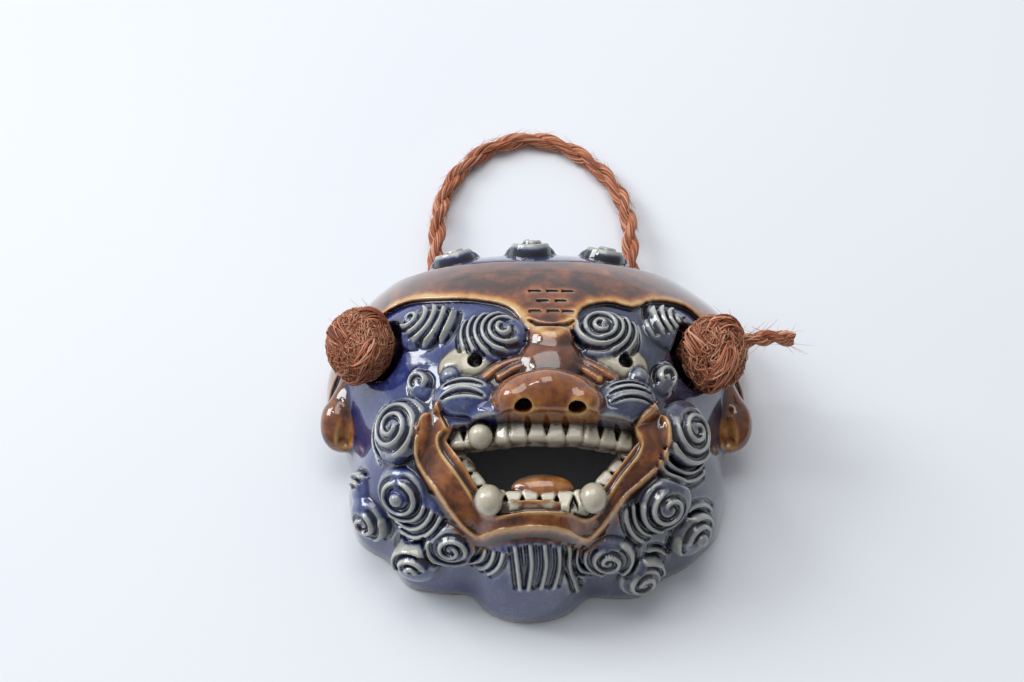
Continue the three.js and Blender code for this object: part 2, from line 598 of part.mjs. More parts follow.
// Every hole that the rope and its knots need in the clay.
function ropeRoom() {
  const holes = [ropeTube(ROPE + 2 * EASE, 0, 0), pocket(KNOT_LEFT, GAP), pocket(KNOT_RIGHT, GAP)];
  for (const leg of [LEFT_LEG, RIGHT_LEG]) {
    const radius = ROPE / 2 + NOTCH_ROOM;
    const arch = new THREE.Shape();
    arch.moveTo(-radius, -WALL);
    arch.lineTo(radius, -WALL);
    arch.lineTo(radius, leg.z);
    arch.absarc(0, leg.z, radius, 0, Math.PI, false);
    const settings = { depth: NOTCH_DEPTH, bevelEnabled: false, curveSegments: 8 };
    const geometry = new THREE.ExtrudeGeometry(arch, settings).rotateX(Math.PI / 2);
    holes.push(solidFromGeometry(geometry.translate(leg.x, leg.y + NOTCH_DEPTH * 0.65, 0)));
  }
  return holes;
}

const STRIPE_BOW = 0.08;
const WING = 4; // width of the ridge on each side of the nose

function maskSolid() {
  const raised = [outer(), cap(), ...lips(), ...beard(), ear(-1), ear(1)];
  for (const row of [...CURLS, ...BROWS, ...PADS, ...PLAIN_LUMPS, ...NOSE]) {
    const lump = new Lump(row);
    raised.push(lump.solid);
    for (const arc of row.arcs ?? []) raised.push(lump.arc(arc));
    for (const line of row.stripes ?? []) raised.push(lump.stripe(line, STRIPE_BOW));
    if (row.knob) raised.push(ellipsoid(lump.surface(0, 0), v3(1, 1, 1).multiplyScalar(row.knob * UNIT)));
  }
  for (const wing of WINGS) {
    const points = wing.map(drawn);
    raised.push(ridge(points, points.map(skinNormal), WING * UNIT, false, WING * UNIT, 6));
  }

  // The clay keeps its thickness behind each knot's pocket.
  const bosses = [KNOT_LEFT, KNOT_RIGHT].map((knot) => pocket(knot, GAP + WALL * POCKET_SHARE));
  const hollow = bosses.reduce((sum, boss) => sum.subtract(boss), cavity());

  const pits = [
    ...NOSTRIL_PLACES.map((from, i) => bore(drawn(from), drawn(NOSE_TARGET[i]), NOSTRIL, 10)),
    ...PUPIL_PLACES.map((place) => {
      const eye = onSkin(place);
      const normal = skinNormal(eye);
      const above = eye.clone().addScaledVector(normal, 8);
      return bore(above, eye.addScaledVector(normal, -0.6), PUPIL, 10);
    }),
  ];
  const floor = box(v3(0, 0, -PAST / 2), v3(4 * PAST, 4 * PAST, PAST));
  const open = [hollow, prism(MOUTH, -WALL, PAST), ...ropeRoom(), ...pits, ...strokes(), floor];
  return join([join(raised).subtract(join(open)), ...teeth(), tongue()]);
}

// Joins leave slivers. This folds an edge into one of its ends wherever the surface stays within
// the tolerance, turns no face over and keeps the mesh closed.
function slimmed(points, triangles, tolerance) {
  const faces = [];
  for (let i = 0; i < triangles.length; i += 3) faces.push([...triangles.slice(i, i + 3)]);
  const around = points.map(() => new Set());
  faces.forEach((face, i) => face.forEach((v) => around[v].add(i)));
  const neighbours = (v) => new Set([...around[v]].flatMap((i) => faces[i]).filter((w) => w !== v));
  const normalOf = ([a, b, c]) => points[b].clone().sub(points[a]).cross(points[c].clone().sub(points[a]));

  function folds(gone, kept) {
    const near = neighbours(gone);
    if ([...neighbours(kept)].filter((w) => near.has(w)).length !== 2) return false;
    for (const i of around[gone]) {
      const before = normalOf(faces[i]);
      const size = before.length();
      if (size > 1e-9) {
        const away = before.dot(points[kept].clone().sub(points[gone])) / size;
        if (Math.abs(away) > tolerance) return false;
      }
      if (faces[i].includes(kept)) continue;
      const after = normalOf(faces[i].map((v) => (v === gone ? kept : v)));
      if (after.length() < 1e-4 || after.dot(before) < 0.5 * after.length() * size) return false;
    }
    return true;
  }

  for (let pass = 0; pass < 8; pass += 1) {
    let changed = 0;
    for (let gone = 0; gone < points.length; gone += 1) {
      if (around[gone].size === 0) continue;
      const away = (v) => points[v].distanceTo(points[gone]);
      const choices = [...neighbours(gone)].sort((a, b) => away(a) - away(b));
      const kept = choices.find((v) => folds(gone, v));
      if (kept === undefined) continue;
      for (const i of [...around[gone]]) {
        const dead = faces[i].includes(kept);
        if (dead) faces[i].forEach((v) => around[v].delete(i));
        faces[i] = dead ? null : faces[i].map((v) => (v === gone ? kept : v));
        if (!dead) around[kept].add(i);
      }
      around[gone].clear();
      changed += 1;
    }
    if (changed === 0) break;
  }
  return faces.filter(Boolean).flat();
}

function toMesh(name, solid, colour, roughness) {
  const { vertProperties, triVerts } = solid.getMesh();
  const points = [];
  for (let i = 0; i < vertProperties.length; i += 3) points.push(v3(...vertProperties.slice(i, i + 3)));
  const slim = new THREE.BufferGeometry().setFromPoints(points);
  slim.setIndex(slimmed(points, triVerts, SLIM));
  const geometry = mergeVertices(slim, 1e-5);
  geometry.computeVertexNormals();
  const mesh = new THREE.Mesh(geometry, new THREE.MeshStandardMaterial({ color: colour, roughness }));
  mesh.name = name;
  return mesh;
}

const GLAZE_BLUE = 0x2b3a78;
const PALM_BROWN = 0x8a4526;

const group = new THREE.Group();
const mask = toMesh('mask', maskSolid(), GLAZE_BLUE, 0.2);
group.add(mask);
group.add(toMesh('rope', ropeSolid(), PALM_BROWN, 0.9));
group.add(toMesh('knot_left', knotBall(KNOT_LEFT), PALM_BROWN, 0.95));
group.add(toMesh('knot_right', knotBall(KNOT_RIGHT).add(tailSolid()), PALM_BROWN, 0.95));

const extent = new THREE.Box3().setFromObject(mask);
group.position.set(-(extent.min.x + extent.max.x) / 2, -(extent.min.y + extent.max.y) / 2, -extent.min.z);

export default group;
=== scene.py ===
"""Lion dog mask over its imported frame: carved and glazed stoneware, a twisted palm rope, two knots.

The clay is worked out as signed distances in drawn millimetres, the frame that the face is drawn in.
TO_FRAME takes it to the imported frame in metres.
"""

import bpy
import numpy as np
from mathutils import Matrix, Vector


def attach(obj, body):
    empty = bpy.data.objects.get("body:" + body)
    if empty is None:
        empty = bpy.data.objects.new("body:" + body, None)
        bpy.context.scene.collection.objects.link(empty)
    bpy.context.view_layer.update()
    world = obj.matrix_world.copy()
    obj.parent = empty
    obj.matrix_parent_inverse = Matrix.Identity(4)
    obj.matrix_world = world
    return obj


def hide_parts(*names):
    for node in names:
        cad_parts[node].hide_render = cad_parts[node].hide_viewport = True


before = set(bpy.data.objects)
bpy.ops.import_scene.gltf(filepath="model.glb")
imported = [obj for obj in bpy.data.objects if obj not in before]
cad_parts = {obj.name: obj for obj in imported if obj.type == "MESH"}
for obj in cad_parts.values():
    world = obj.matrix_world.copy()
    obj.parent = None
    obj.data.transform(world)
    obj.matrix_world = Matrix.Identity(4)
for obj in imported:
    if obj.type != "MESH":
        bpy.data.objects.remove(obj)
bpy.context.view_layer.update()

MM = 0.001
TO_FRAME = np.array([-0.408, -3.781, 0.0])  # drawn to packed, in mm
rng = np.random.default_rng(7)


def in_metres(points):
    return (np.asarray(points, float) + TO_FRAME) * MM


def unit(v):
    v = np.asarray(v, float)
    return v / np.maximum(np.linalg.norm(v, axis=-1, keepdims=True), 1e-9)


def smoothstep(low, high, value):
    t = np.clip((value - low) / (high - low), 0, 1)
    return t * t * (3 - 2 * t)


# Camera: 60 degrees above the table, seen from the beard's side.
CAMERA_LENS = 67.18
CAMERA_PLACE = [-8.91, -322.94, 640.86]
CAMERA_LEAN = 30
camera_data = bpy.data.cameras.new("camera")
camera_data.lens = CAMERA_LENS
camera_data.sensor_width = 36.0
camera = bpy.data.objects.new("camera", camera_data)
camera.location = in_metres(CAMERA_PLACE)
camera.rotation_euler = (np.radians(CAMERA_LEAN), 0, 0)
bpy.context.scene.collection.objects.link(camera)
bpy.context.scene.camera = camera


# Curves.
def run_along(path):
    """The way from a path's start to each of its points."""
    return np.concatenate([[0], np.cumsum(np.linalg.norm(np.diff(path, axis=0), axis=1))])


def spline(points, count):
    """A centripetal curve through points, resampled to even steps."""
    points = np.asarray(points, float)
    ends = np.vstack([2 * points[0] - points[1], points, 2 * points[-1] - points[-2]])
    dense = []
    for a, b, c, d in zip(ends[:-3], ends[1:-2], ends[2:-1], ends[3:]):
        t1 = np.linalg.norm(b - a) ** 0.5
        t2 = t1 + np.linalg.norm(c - b) ** 0.5
        t3 = t2 + np.linalg.norm(d - c) ** 0.5
        t = np.linspace(t1, t2, 24, endpoint=False)[:, None]
        ab = a + (b - a) * t / t1
        bc = b + (c - b) * (t - t1) / (t2 - t1)
        cd = c + (d - c) * (t - t2) / (t3 - t2)
        abc = ab + (bc - ab) * t / t2
        bcd = bc + (cd - bc) * (t - t1) / (t3 - t1)
        dense.append(abc + (bcd - abc) * (t - t1) / (t2 - t1))
    dense.append(ends[-2:-1])
    dense = np.vstack(dense)
    run = run_along(dense)
    return at_runs(dense, run, np.linspace(0, run[-1], count))


def at_runs(path, run, at):
    return np.stack([np.interp(at, run, path[:, i]) for i in range(path.shape[1])], axis=1)


def frames_along(points):
    """Directions along a path, and two across it that turn as little as they can."""
    along = unit(np.gradient(points, axis=0))
    side = np.zeros_like(along)
    side[0] = unit(np.cross(along[0], [0.3, 0.2, 1.0]))
    for i in range(1, len(points)):
        side[i] = unit(side[i - 1] - along[i] * side[i - 1].dot(along[i]))
    return along, side, np.cross(along, side)


def around(side, up, turn):
    return side * np.cos(turn)[:, None] + up * np.sin(turn)[:, None]


def tubes(paths, radii, sides):
    """Closed tubes with one radius per point, as vertices and faces of one mesh."""
    verts, faces = [], []
    start = 0
    turn = np.arange(sides) / sides * 2 * np.pi
    for path, radius in zip(paths, radii):
        _, side, up = frames_along(path)
        ring = around(side[:, None], up[:, None], turn)
        verts.append((path[:, None] + ring * np.asarray(radius)[:, None, None]).reshape(-1, 3))
        count = len(path)
        i = np.arange(count - 1)[:, None] * sides + start
        j = np.arange(sides)[None, :]
        k = (j + 1) % sides
        faces.append(np.stack([i + j, i + k, i + sides + k, i + sides + j], axis=-1).reshape(-1, 4))
        first = start + np.arange(sides)
        for cap in (first[::-1], first + (count - 1) * sides):
            for t in range(1, sides - 1):
                faces.append(np.array([[cap[0], cap[t], cap[t + 1], cap[t + 1]]]))
        start += count * sides
    return np.vstack(verts), np.vstack(faces)


def make_mesh(name, points, faces, material, attributes=None):
    """An object from vertices in metres and rows of four corners; a triangle has its last one twice."""
    faces = np.asarray(faces)
    counts = np.where(faces[:, 3] != faces[:, 2], 4, 3)
    keep = np.arange(4)[None, :] < counts[:, None]
    mesh = bpy.data.meshes.new(name)
    mesh.vertices.add(len(points))
    mesh.vertices.foreach_set("co", np.ascontiguousarray(points, np.float32).ravel())
    mesh.loops.add(int(counts.sum()))
    mesh.loops.foreach_set("vertex_index", faces[keep].astype(np.int32))
    mesh.polygons.add(len(faces))
    starts = np.concatenate([[0], np.cumsum(counts)[:-1]])
    mesh.polygons.foreach_set("loop_start", starts.astype(np.int32))
    mesh.update(calc_edges=True)
    mesh.validate()
    mesh.polygons.foreach_set("use_smooth", np.ones(len(mesh.polygons), bool))
    mesh.materials.append(material)
    set_attributes(mesh, attributes or {})
    piece = bpy.data.objects.new(name, mesh)
    bpy.context.scene.collection.objects.link(piece)
    return piece


def set_attributes(mesh, attributes):
    for key, values in attributes.items():
        layer = mesh.attributes.new(key, "FLOAT_COLOR", "POINT")
        layer.data.foreach_set("color", np.ascontiguousarray(values, np.float32).ravel())


# The smooth skin of the face, as in the part's source.
RIM = 5.0
CROWN = 57.0
WALL = 6.0
CROWN_POWER = 1.55
# Half width, reach and side power of the plan, in its lower and its upper half.
HALF = (66.0, 79.0)
REACH = (63.0, 77.0)
SIDE_POWER = (3.2, 2.5)
PLAN_POWER = 2.5
# Where the rim swells or draws in: angle, rise and spread.
SWELLS = [(-1.62, 6.5, 0.3), (-2.8, 4.5, 0.15), (-2.6, 5, 0.13), (-2.27, 3.5, 0.11), (-1.96, -3.5, 0.1),
          (-1.27, -3.5, 0.1), (-1, 2.5, 0.1), (-0.72, 2.5, 0.12), (-0.52, 5, 0.14), (-0.3, 4.5, 0.15),
          (0.52, 3.5, 0.2)]


def blended(pair, angle):
    return pair[0] + (pair[1] - pair[0]) * smoothstep(-0.3, 0.35, np.sin(angle))


def plan_radius(angle, inset=0.0):
    half = blended(HALF, angle) - inset
    reach = np.where(np.sin(angle) > 0, REACH[1], REACH[0]) - inset
    oval = (np.abs(np.cos(angle)) / half) ** PLAN_POWER + (np.abs(np.sin(angle)) / reach) ** PLAN_POWER
    radius = oval ** (-1 / PLAN_POWER)
    for middle, rise, spread in SWELLS:
        turned = (angle - middle + np.pi) % (2 * np.pi) - np.pi
        radius = radius + rise * np.exp(-((turned / spread) ** 2))
    return radius


def plan_share(x, y, inset=0.0):
    angle = np.arctan2(y, x)
    return (np.hypot(x, y) / plan_radius(angle, inset)) ** blended(SIDE_POWER, angle)


def skin_value(p):
    lift = np.maximum(p[..., 2] - RIM, 0) / CROWN
    return plan_share(p[..., 0], p[..., 1]) + lift ** CROWN_POWER - 1


def skin_height(x, y):
    return RIM + CROWN * np.maximum(1 - plan_share(x, y), 0) ** (1 / CROWN_POWER)


def skin_normal(p):
    steps = np.eye(3) * 0.4
    p = np.asarray(p, float)
    return unit(np.stack([skin_value(p + s) - skin_value(p - s) for s in steps], axis=-1))


def on_skin(place):
    """The skin point in the direction of a place, seen from the middle of the back."""
    place = np.asarray(place, float)
    low, high = 0.2, 3.0
    for _ in range(30):
        middle = (low + high) / 2
        if skin_value(place * middle) > 0:
            high = middle
        else:
            low = middle
    return place * low


# Signed distances.
def smooth_min(a, b, k):
    h = np.clip(0.5 + 0.5 * (b - a) / k, 0, 1)
    return b + (a - b) * h - k * h * (1 - h)


def smooth_max(a, b, k):
    return -smooth_min(-a, -b, k)


def offsets(place, x, y, z):
    return x - place[0], y - place[1], z - place[2]


def in_frame(offset, ways):
    dx, dy, dz = offset
    return [dx * way[0] + dy * way[1] + dz * way[2] for way in ways]


def ball(place, half):
    """The distance function of an ellipsoid at a place."""
    return lambda x, y, z: ellipsoid(*offsets(place, x, y, z), half)


def ellipsoid_share(u, v, w, half):
    return np.sqrt((u / half[0]) ** 2 + (v / half[1]) ** 2 + (w / half[2]) ** 2)


def ellipsoid(u, v, w, half):
    near = ellipsoid_share(u, v, w, half)
    slope = np.sqrt((u / half[0] ** 2) ** 2 + (v / half[1] ** 2) ** 2 + (w / half[2] ** 2) ** 2)
    return near * (near - 1) / np.maximum(slope, 1e-6)


def outline_distance(points, x, y):
    """Distance to a closed outline in the plan, negative inside it."""
    points = np.asarray(points, float)
    best = np.full(np.broadcast(x, y).shape, 1e9)
    inside = np.zeros(best.shape, bool)
    for (ax, ay), (bx, by) in zip(points, np.roll(points, -1, axis=0)):
        ex, ey = bx - ax, by - ay
        t = np.clip(((x - ax) * ex + (y - ay) * ey) / (ex * ex + ey * ey + 1e-12), 0, 1)
        best = np.minimum(best, (x - ax - t * ex) ** 2 + (y - ay - t * ey) ** 2)
        if ay != by:
            crosses = (ay > y) != (by > y)
            inside ^= crosses & (x < ax + (y - ay) / (by - ay) * ex)
    return np.where(inside, -1, 1) * np.sqrt(best)


def nearest(samples, x, y):
    """Index of the nearest plan sample and the distance to it."""
    shape = np.broadcast(x, y).shape
    best = np.full(shape, 1e9, np.float32)
    index = np.zeros(shape, np.int32)
    for i, (sx, sy) in enumerate(samples[:, :2]):
        d = (x - sx) ** 2 + (y - sy) ** 2
        closer = d < best
        best = np.where(closer, d, best)
        index = np.where(closer, i, index)
    return index, np.sqrt(best)


# Heights and depths of the carving.
RIDGE_HEIGHT = 1.1
RIDGE_HALF = 0.72
TROUGH_DEPTH = 0.85
GROOVE_DEPTH = 1.6
LIP_RAISE = 1.3


class Lump:
    """A lump on the skin with a flat frame of its own, which its ridges are drawn in."""

    def __init__(self, at, half, height, arcs=(), spot=(0, 0), grooves=(), knob=0.0, tilt=0.0, blend=1.4):
        self.centre = on_skin(at)
        self.normal = skin_normal(self.centre)
        across = unit(np.array([1.0, 0, 0]) - self.normal * self.normal[0])
        up = np.cross(self.normal, across)
        turn = np.radians(tilt)
        self.across = across * np.cos(turn) + up * np.sin(turn)
        self.up = np.cross(self.normal, self.across)
        self.half = (half[0], half[1], height)
        self.knob = knob
        self.blend = blend
        self.lines = [self.arc(*row) + spot for row in arcs]
        self.grooves = [(self.stripe(*row[:4]), row[4]) for row in grooves]
        ends = [np.abs(line).max() for line in self.lines] + [max(half)]
        self.reach = max(ends) + 4.0
        self.map = self.relief_map() if self.lines or grooves else None

    @staticmethod
    def arc(r0, a0, r1, a1):
        count = max(8, int(np.radians(abs(a1 - a0)) * max(r0, r1) / 0.45))
        radius = np.linspace(r0, r1, count)
        angle = np.radians(np.linspace(a0, a1, count))
        return np.stack([radius * np.cos(angle), radius * np.sin(angle)], axis=1)

    @staticmethod
    def stripe(x0, y0, x1, y1, bow=0.12):
        t = np.linspace(0, 1, 40)
        swell = 4 * t * (1 - t) * bow
        x = x0 + (x1 - x0) * t - (y1 - y0) * swell
        y = y0 + (y1 - y0) * t + (x1 - x0) * swell
        return np.stack([x, y], axis=1)

    def local(self, x, y, z):
        return in_frame(offsets(self.centre, x, y, z), (self.across, self.up, self.normal))

    def distance(self, x, y, z):
        return ellipsoid(*self.local(x, y, z), self.half)

    def relief_map(self):
        """Height of the carving over the flat frame: flat-topped ridges with troughs between them."""
        self.pitch = 0.2
        at = np.arange(-self.reach, self.reach + self.pitch, self.pitch)
        u, v = at[:, None], at[None, :]
        height = np.zeros((len(at), len(at)))
        trough = np.zeros_like(height)
        for line in self.lines:
            index, gap = nearest(line, u, v)
            run = index / (len(line) - 1)
            taper = smoothstep(0, 0.06, run) * smoothstep(0, 0.06, 1 - run)
            ridge = RIDGE_HEIGHT * (1 - smoothstep(RIDGE_HALF - 0.5, RIDGE_HALF + 0.5, gap))
            height = np.maximum(height, ridge * (0.3 + 0.7 * taper))
            trough = np.maximum(trough, TROUGH_DEPTH * np.exp(-(((gap - 1.6) / 0.7) ** 2)) * taper)
        for line, wide in self.grooves:
            index, gap = nearest(line, u, v)
            lens = wide * np.sin(np.pi * index / (len(line) - 1)) ** 0.7
            trough = np.maximum(trough, GROOVE_DEPTH * (1 - smoothstep(lens * 0.35, lens + 0.3, gap)))
            height = np.maximum(height, 0.35 * np.exp(-(((gap - lens - 0.6) / 0.45) ** 2)))
        return height - trough * (1 - np.clip(height / RIDGE_HEIGHT * 1.6, 0, 1))

    def relief(self, x, y, z):
        u, v, _ = self.local(x, y, z)
        i = np.clip((u + self.reach) / self.pitch, 0, len(self.map) - 1.001)
        j = np.clip((v + self.reach) / self.pitch, 0, len(self.map) - 1.001)
        i0, j0 = i.astype(int), j.astype(int)
        fi, fj = i - i0, j - j0
        low = self.map[i0, j0] * (1 - fi) + self.map[i0 + 1, j0] * fi
        high = self.map[i0, j0 + 1] * (1 - fi) + self.map[i0 + 1, j0 + 1] * fi
        side = np.maximum(np.abs(u), np.abs(v))
        return (low * (1 - fj) + high * fj) * (1 - smoothstep(self.reach - 1.5, self.reach, side))


def lump(x, y, z, half_across, half_up, height, **more):
    return dict(at=[x, y, z], half=[half_across, half_up], height=height, **more)


# Mane curls: arcs are radius and angle at both ends, and a spiral is one long arc.
TOP_ARCS = [[6.8, 190, 6.8, 350], [1.2, 90, 4, 420]]
CURLS = [
    lump(-47.6, -17.9, 50.2, 12, 12, 6, arcs=[[1.6, 20, 10.3, -830], [12.6, 115, 12.9, 225]]),
    lump(-46.9, -36.9, 39.1, 10, 10, 5, knob=2.6,
         arcs=[[5.8, 100, 6.2, 450], [9.2, -125, 9.6, -5], [12.4, -112, 13, -10], [15.6, -100, 16.4, -14]]),
    lump(-59.7, -38.6, 21.9, 8, 8.5, 5, arcs=[[1.5, 90, 5, 450], [7.6, -60, 7.6, 30]]),
    lump(-43.1, -54.6, 20.4, 8.5, 8.5, 6,
         arcs=[[4.8, 20, 4.8, 175], [7.8, 60, 8.2, 215], [1.8, 0, 1.8, 200]]),
    lump(-30.1, -52.6, 31.1, 9, 8.5, 4,
         arcs=[[1.6, 60, 5.6, -400], [8.4, 160, 8.8, 320], [12, 4, 10.4, -58], [15.4, 7, 13, -48],
               [18.8, 8, 15.6, -38]]),
    lump(51.8, -17.3, 46.6, 12, 12, 6,
         arcs=[[1.6, 120, 8.8, -560], [11.4, -150, 11, -25], [14, -142, 13.6, -32], [16.7, -134, 16.3, -40]]),
    lump(44.2, -41, 38.9, 10.5, 10.5, 5,
         arcs=[[2.4, 150, 7.2, -260], [9.8, 162, 9.2, 262], [12.6, 166, 12, 250], [15.5, 172, 15, 240]]),
    lump(54.8, -43.7, 20.8, 9, 9, 5, knob=2.6,
         arcs=[[5, 180, 5, -30], [8.2, 100, 8.2, 0], [11.2, 105, 11.2, 20], [8.6, 160, 8.6, 215]]),
    lump(36.6, -58.2, 16.3, 8.5, 8.5, 5,
         arcs=[[1.6, 180, 5.4, -240], [8.4, 85, 8.6, -10], [11.2, 78, 11, 20]]),
    lump(25, -55.6, 28, 9, 8.5, 4,
         arcs=[[1.7, 220, 5.6, -250], [8.2, 60, 8.4, -60], [8.6, 156, 8, 262], [11.6, 156, 10.6, 246],
               [14.6, 156, 13, 234]]),
    lump(-30.5, 66, 27, 9.5, 8.5, 4, arcs=TOP_ARCS),
    lump(-2, 66, 32, 9.5, 8.5, 4.8, arcs=TOP_ARCS),
    lump(25.5, 65.5, 28, 9.5, 8.5, 4, arcs=TOP_ARCS),
    lump(-40.8, -2.1, 54.4, 4.5, 7, 3.5, tilt=20, arcs=[[3.2, -60, 3.2, 220]]),
    lump(44.4, 1.4, 52.5, 4.5, 7, 3.5, tilt=-15, arcs=[[3.2, -40, 3.2, 240]]),
    lump(-62.7, -29.3, 25.2, 6, 8, 3, arcs=[[3.6, 40, 3.6, 150], [6.6, 50, 6.6, 140]]),
]

BROWS = [
    lump(-15.8, 13, 61, 12, 10.5, 5.5, spot=(4.9, 0.5),
         arcs=[[1.2, 30, 3.2, -250], [5.4, 60, 5.4, 320], [8, 95, 8, 275], [10.6, 128, 10.6, 238],
               [13.2, 142, 13.2, 219], [15.8, 150, 15.8, 205]]),
    lump(-40, 21.5, 53, 11.5, 9, 4.5, spot=(-4.4, 3.2),
         arcs=[[1.2, 180, 4.2, -170], [6.8, 45, 6.8, -95], [10.1, 25, 10.1, -82], [13.3, 14, 13.3, -68],
               [16.2, 6, 16.2, -48]]),
    lump(24, 14.2, 59.6, 11.5, 10.5, 5.5, spot=(-2.8, 1.8),
         arcs=[[1.2, 0, 3, 320], [5.4, 220, 5.4, -100], [8, 160, 8, 395], [10.6, -70, 10.6, 32],
               [13.3, -58, 13.3, 24]]),
    lump(47, 22, 49.7, 11, 9, 4.5, spot=(3, 3.4),
         arcs=[[2.8, 160, 2.8, 430], [5.7, 115, 5.7, 245], [8.6, 135, 8.6, 236], [11.5, 146, 11.5, 226]]),
]

PADS = [
    lump(-25, -10.4, 60.2, 11, 7.6, 6, tilt=-4,
         grooves=[[-7, 2.2, 7, 2.8, 0.9], [-7.5, -2.4, 7.5, -1.6, 1.1]]),
    lump(30.8, -11.2, 58.6, 11, 8, 6, tilt=8,
         grooves=[[-7, 4, 7, 3.4, 0.3], [-8, 1.2, 8, 0.4, 0.3], [-7.5, -2, 7.5, -2.8, 0.3]]),
]
PAD_TAILS = [
    lump(-12.6, -18.4, 61, 12, 5.4, 5, tilt=-12),
    lump(22.1, -19, 59.7, 12, 5.4, 5, tilt=12),
]
KNOBS = [
    lump(-29.9, -2.5, 59.2, 4, 4, 5, blend=0.6),
    lump(34.8, -1.8, 57.5, 4.2, 4.2, 5, blend=0.6),
]
EYES = [
    lump(-24.8, 3.8, 60.2, 10, 6.8, 3, tilt=16),
    lump(29.5, 4.6, 58.9, 9.5, 6.8, 3, tilt=-16),
]
PUPIL_PLACES = [[-21.4, 2.8, 60.8], [30.1, 3.6, 58.9]]
NOSE = [
    lump(4.8, 12, 62, 8.5, 6, 5),
    lump(4.6, 2.5, 62, 11, 10, 4.5),
    lump(3.2, -11.5, 62, 18.5, 9.5, 12.5),
    lump(3.4, -10.5, 62, 10.5, 8, 13.5),
    lump(-7.6, -14, 62, 8.6, 7.6, 11.5),
    lump(14.4, -14.4, 61.5, 8.6, 7.6, 11.5),
]
NOSTRILS = [([-5, -19.5, 70], [-6, -8, 62]), ([13.4, -20, 69.5], [12.6, -8, 61.5])]
WINGS = [
    [[2, 5, 65], [-8.1, 3.2, 64.9], [-14.5, 0.3, 64.6], [-20, -4.6, 62.8]],
    [[7.5, 5, 65], [16.3, 2.9, 64.4], [22.1, -0.1, 63], [27, -3.2, 60.5]],
    [[-13, -3.5, 62], [-7, 0.4, 63], [4.6, 2, 63], [15, 0.2, 63], [21, -3.8, 61]],
]

# The crease over the nose and the edge of the cap, in the plan.
CREASE = [[-3.2, 19.6], [0.6, 17.3], [4.9, 16.6], [9.2, 17.3], [13, 19.6]]
CAP_EDGE = [[-86, 6], [-66, 26], [-57, 34.5], [-48.6, 36.7], [-34.1, 33.3], [-20, 30], [-9.5, 25.5],
            [-3.3, 15.5], [4.8, 9.5], [12.7, 15.2], [15.7, 25.4], [25.6, 29.9], [34.4, 28.8],
            [41.9, 34.4], [55, 36.5], [65, 27], [86, 6]]
CAP_TOP = [[84, 46], [62, 60], [42, 55], [20, 53], [0, 52.5], [-22, 53], [-44, 55], [-62, 60], [-84, 46]]

# Beard hair, from under the lip to the bulge of the chin.
HAIRS = [
    [[-8, -56.6, 39.7], [-7.1, -60.9, 32.9], [-6.1, -65.8, 21.9]],
    [[-2.7, -56.5, 40.7], [-2.2, -61.1, 33.3], [-3.3, -65.9, 22.2]],
    [[2.2, -56.3, 40.4], [2.8, -60.9, 32.8], [1.2, -65.5, 22.5]],
    [[7.2, -56.1, 38.6], [7.6, -60.2, 31.3], [5.6, -64.9, 21.1]],
    [[10.8, -55.3, 36.7], [11.8, -59.7, 27.2], [14.4, -62.2, 12.8]],
]

# The mouth's opening.
MOUTH = [[-29, -20], [-8, -19.5], [18, -19.5], [33, -20], [34.5, -24.5], [18.5, -45], [-17, -45],
         [-31.5, -24.5]]
# The lips are open lines, from the left corner of the mouth round the jaw to the right one.
LIP_OUTER = [[-35, -13], [-40, -17.2], [-42, -24], [-41.5, -30], [-29.1, -47.2], [-22, -52.1], [-12.3, -53.4],
             [-1.9, -53.4], [8.5, -53.2], [18.9, -52.6], [32.1, -40.5], [42.8, -30.5], [45.5, -23.2],
             [44.3, -16.2], [39.5, -11.9]]
LIP_INNER = [[-29.9, -21], [-33.8, -23], [-34.3, -26.5], [-24.8, -40.2], [-16.5, -48.6], [-1.9, -49.2],
             [12.7, -48.4], [19.1, -48], [29.5, -35.6], [34.8, -29], [35.7, -25], [32.7, -21.4]]
# Tooth rows: start, end, the way from the lip to the tips, and how far the tips reach.
TOOTH_ROWS = [
    ([-31, -19.8, 53], [-10, -19.8, 59], [0, -1, -0.1], 6.0),
    ([-10, -19.8, 59], [16, -19.8, 58.5], [0, -1, -0.1], 5.6),
    ([16, -19.8, 58.5], [33.5, -20, 52], [0, -1, -0.1], 6.0),
    ([-32, -25, 49.5], [-18, -45, 49], [0.82, 0.57, 0], 5.0),
    ([-17, -45.6, 50.6], [18, -45.6, 50.6], [0, 1, 0], 5.0),
    ([19.5, -44.6, 49], [35, -25, 49], [-0.8, 0.6, 0], 5.0),
]
TOOTH_PITCH = 6.0
FANGS = [([-19.8, -24, 57.5], (4.3, 4.3, 5)), ([-16.8, -44.4, 49.8], (4.9, 5.6, 5)),
         ([18.8, -43.4, 49.6], (4.8, 5.4, 5))]
TONGUE = ([1.5, -38.8, 47.5], (10.8, 5, 4))
# The ears: middle line and half width along it.
EAR_SPINE = [[64.5, 24, 26], [66, 15, 22], [68.5, 6, 19], [71, -1, 17], [71.8, -6, 15.5]]
EAR_WIDE = [4.8, 6.0, 7.8, 9.4, 8.4]
# The knots, as middles and half sizes, and the rope from one to the other.
KNOT_LEFT = np.array([-63.5, 18.5, 46.5])
KNOT_RIGHT = np.array([63.5, 15.5, 46.5])
KNOT = np.array([12.0, 14.0, 11.0])
KNOT_ROOM = 0.3
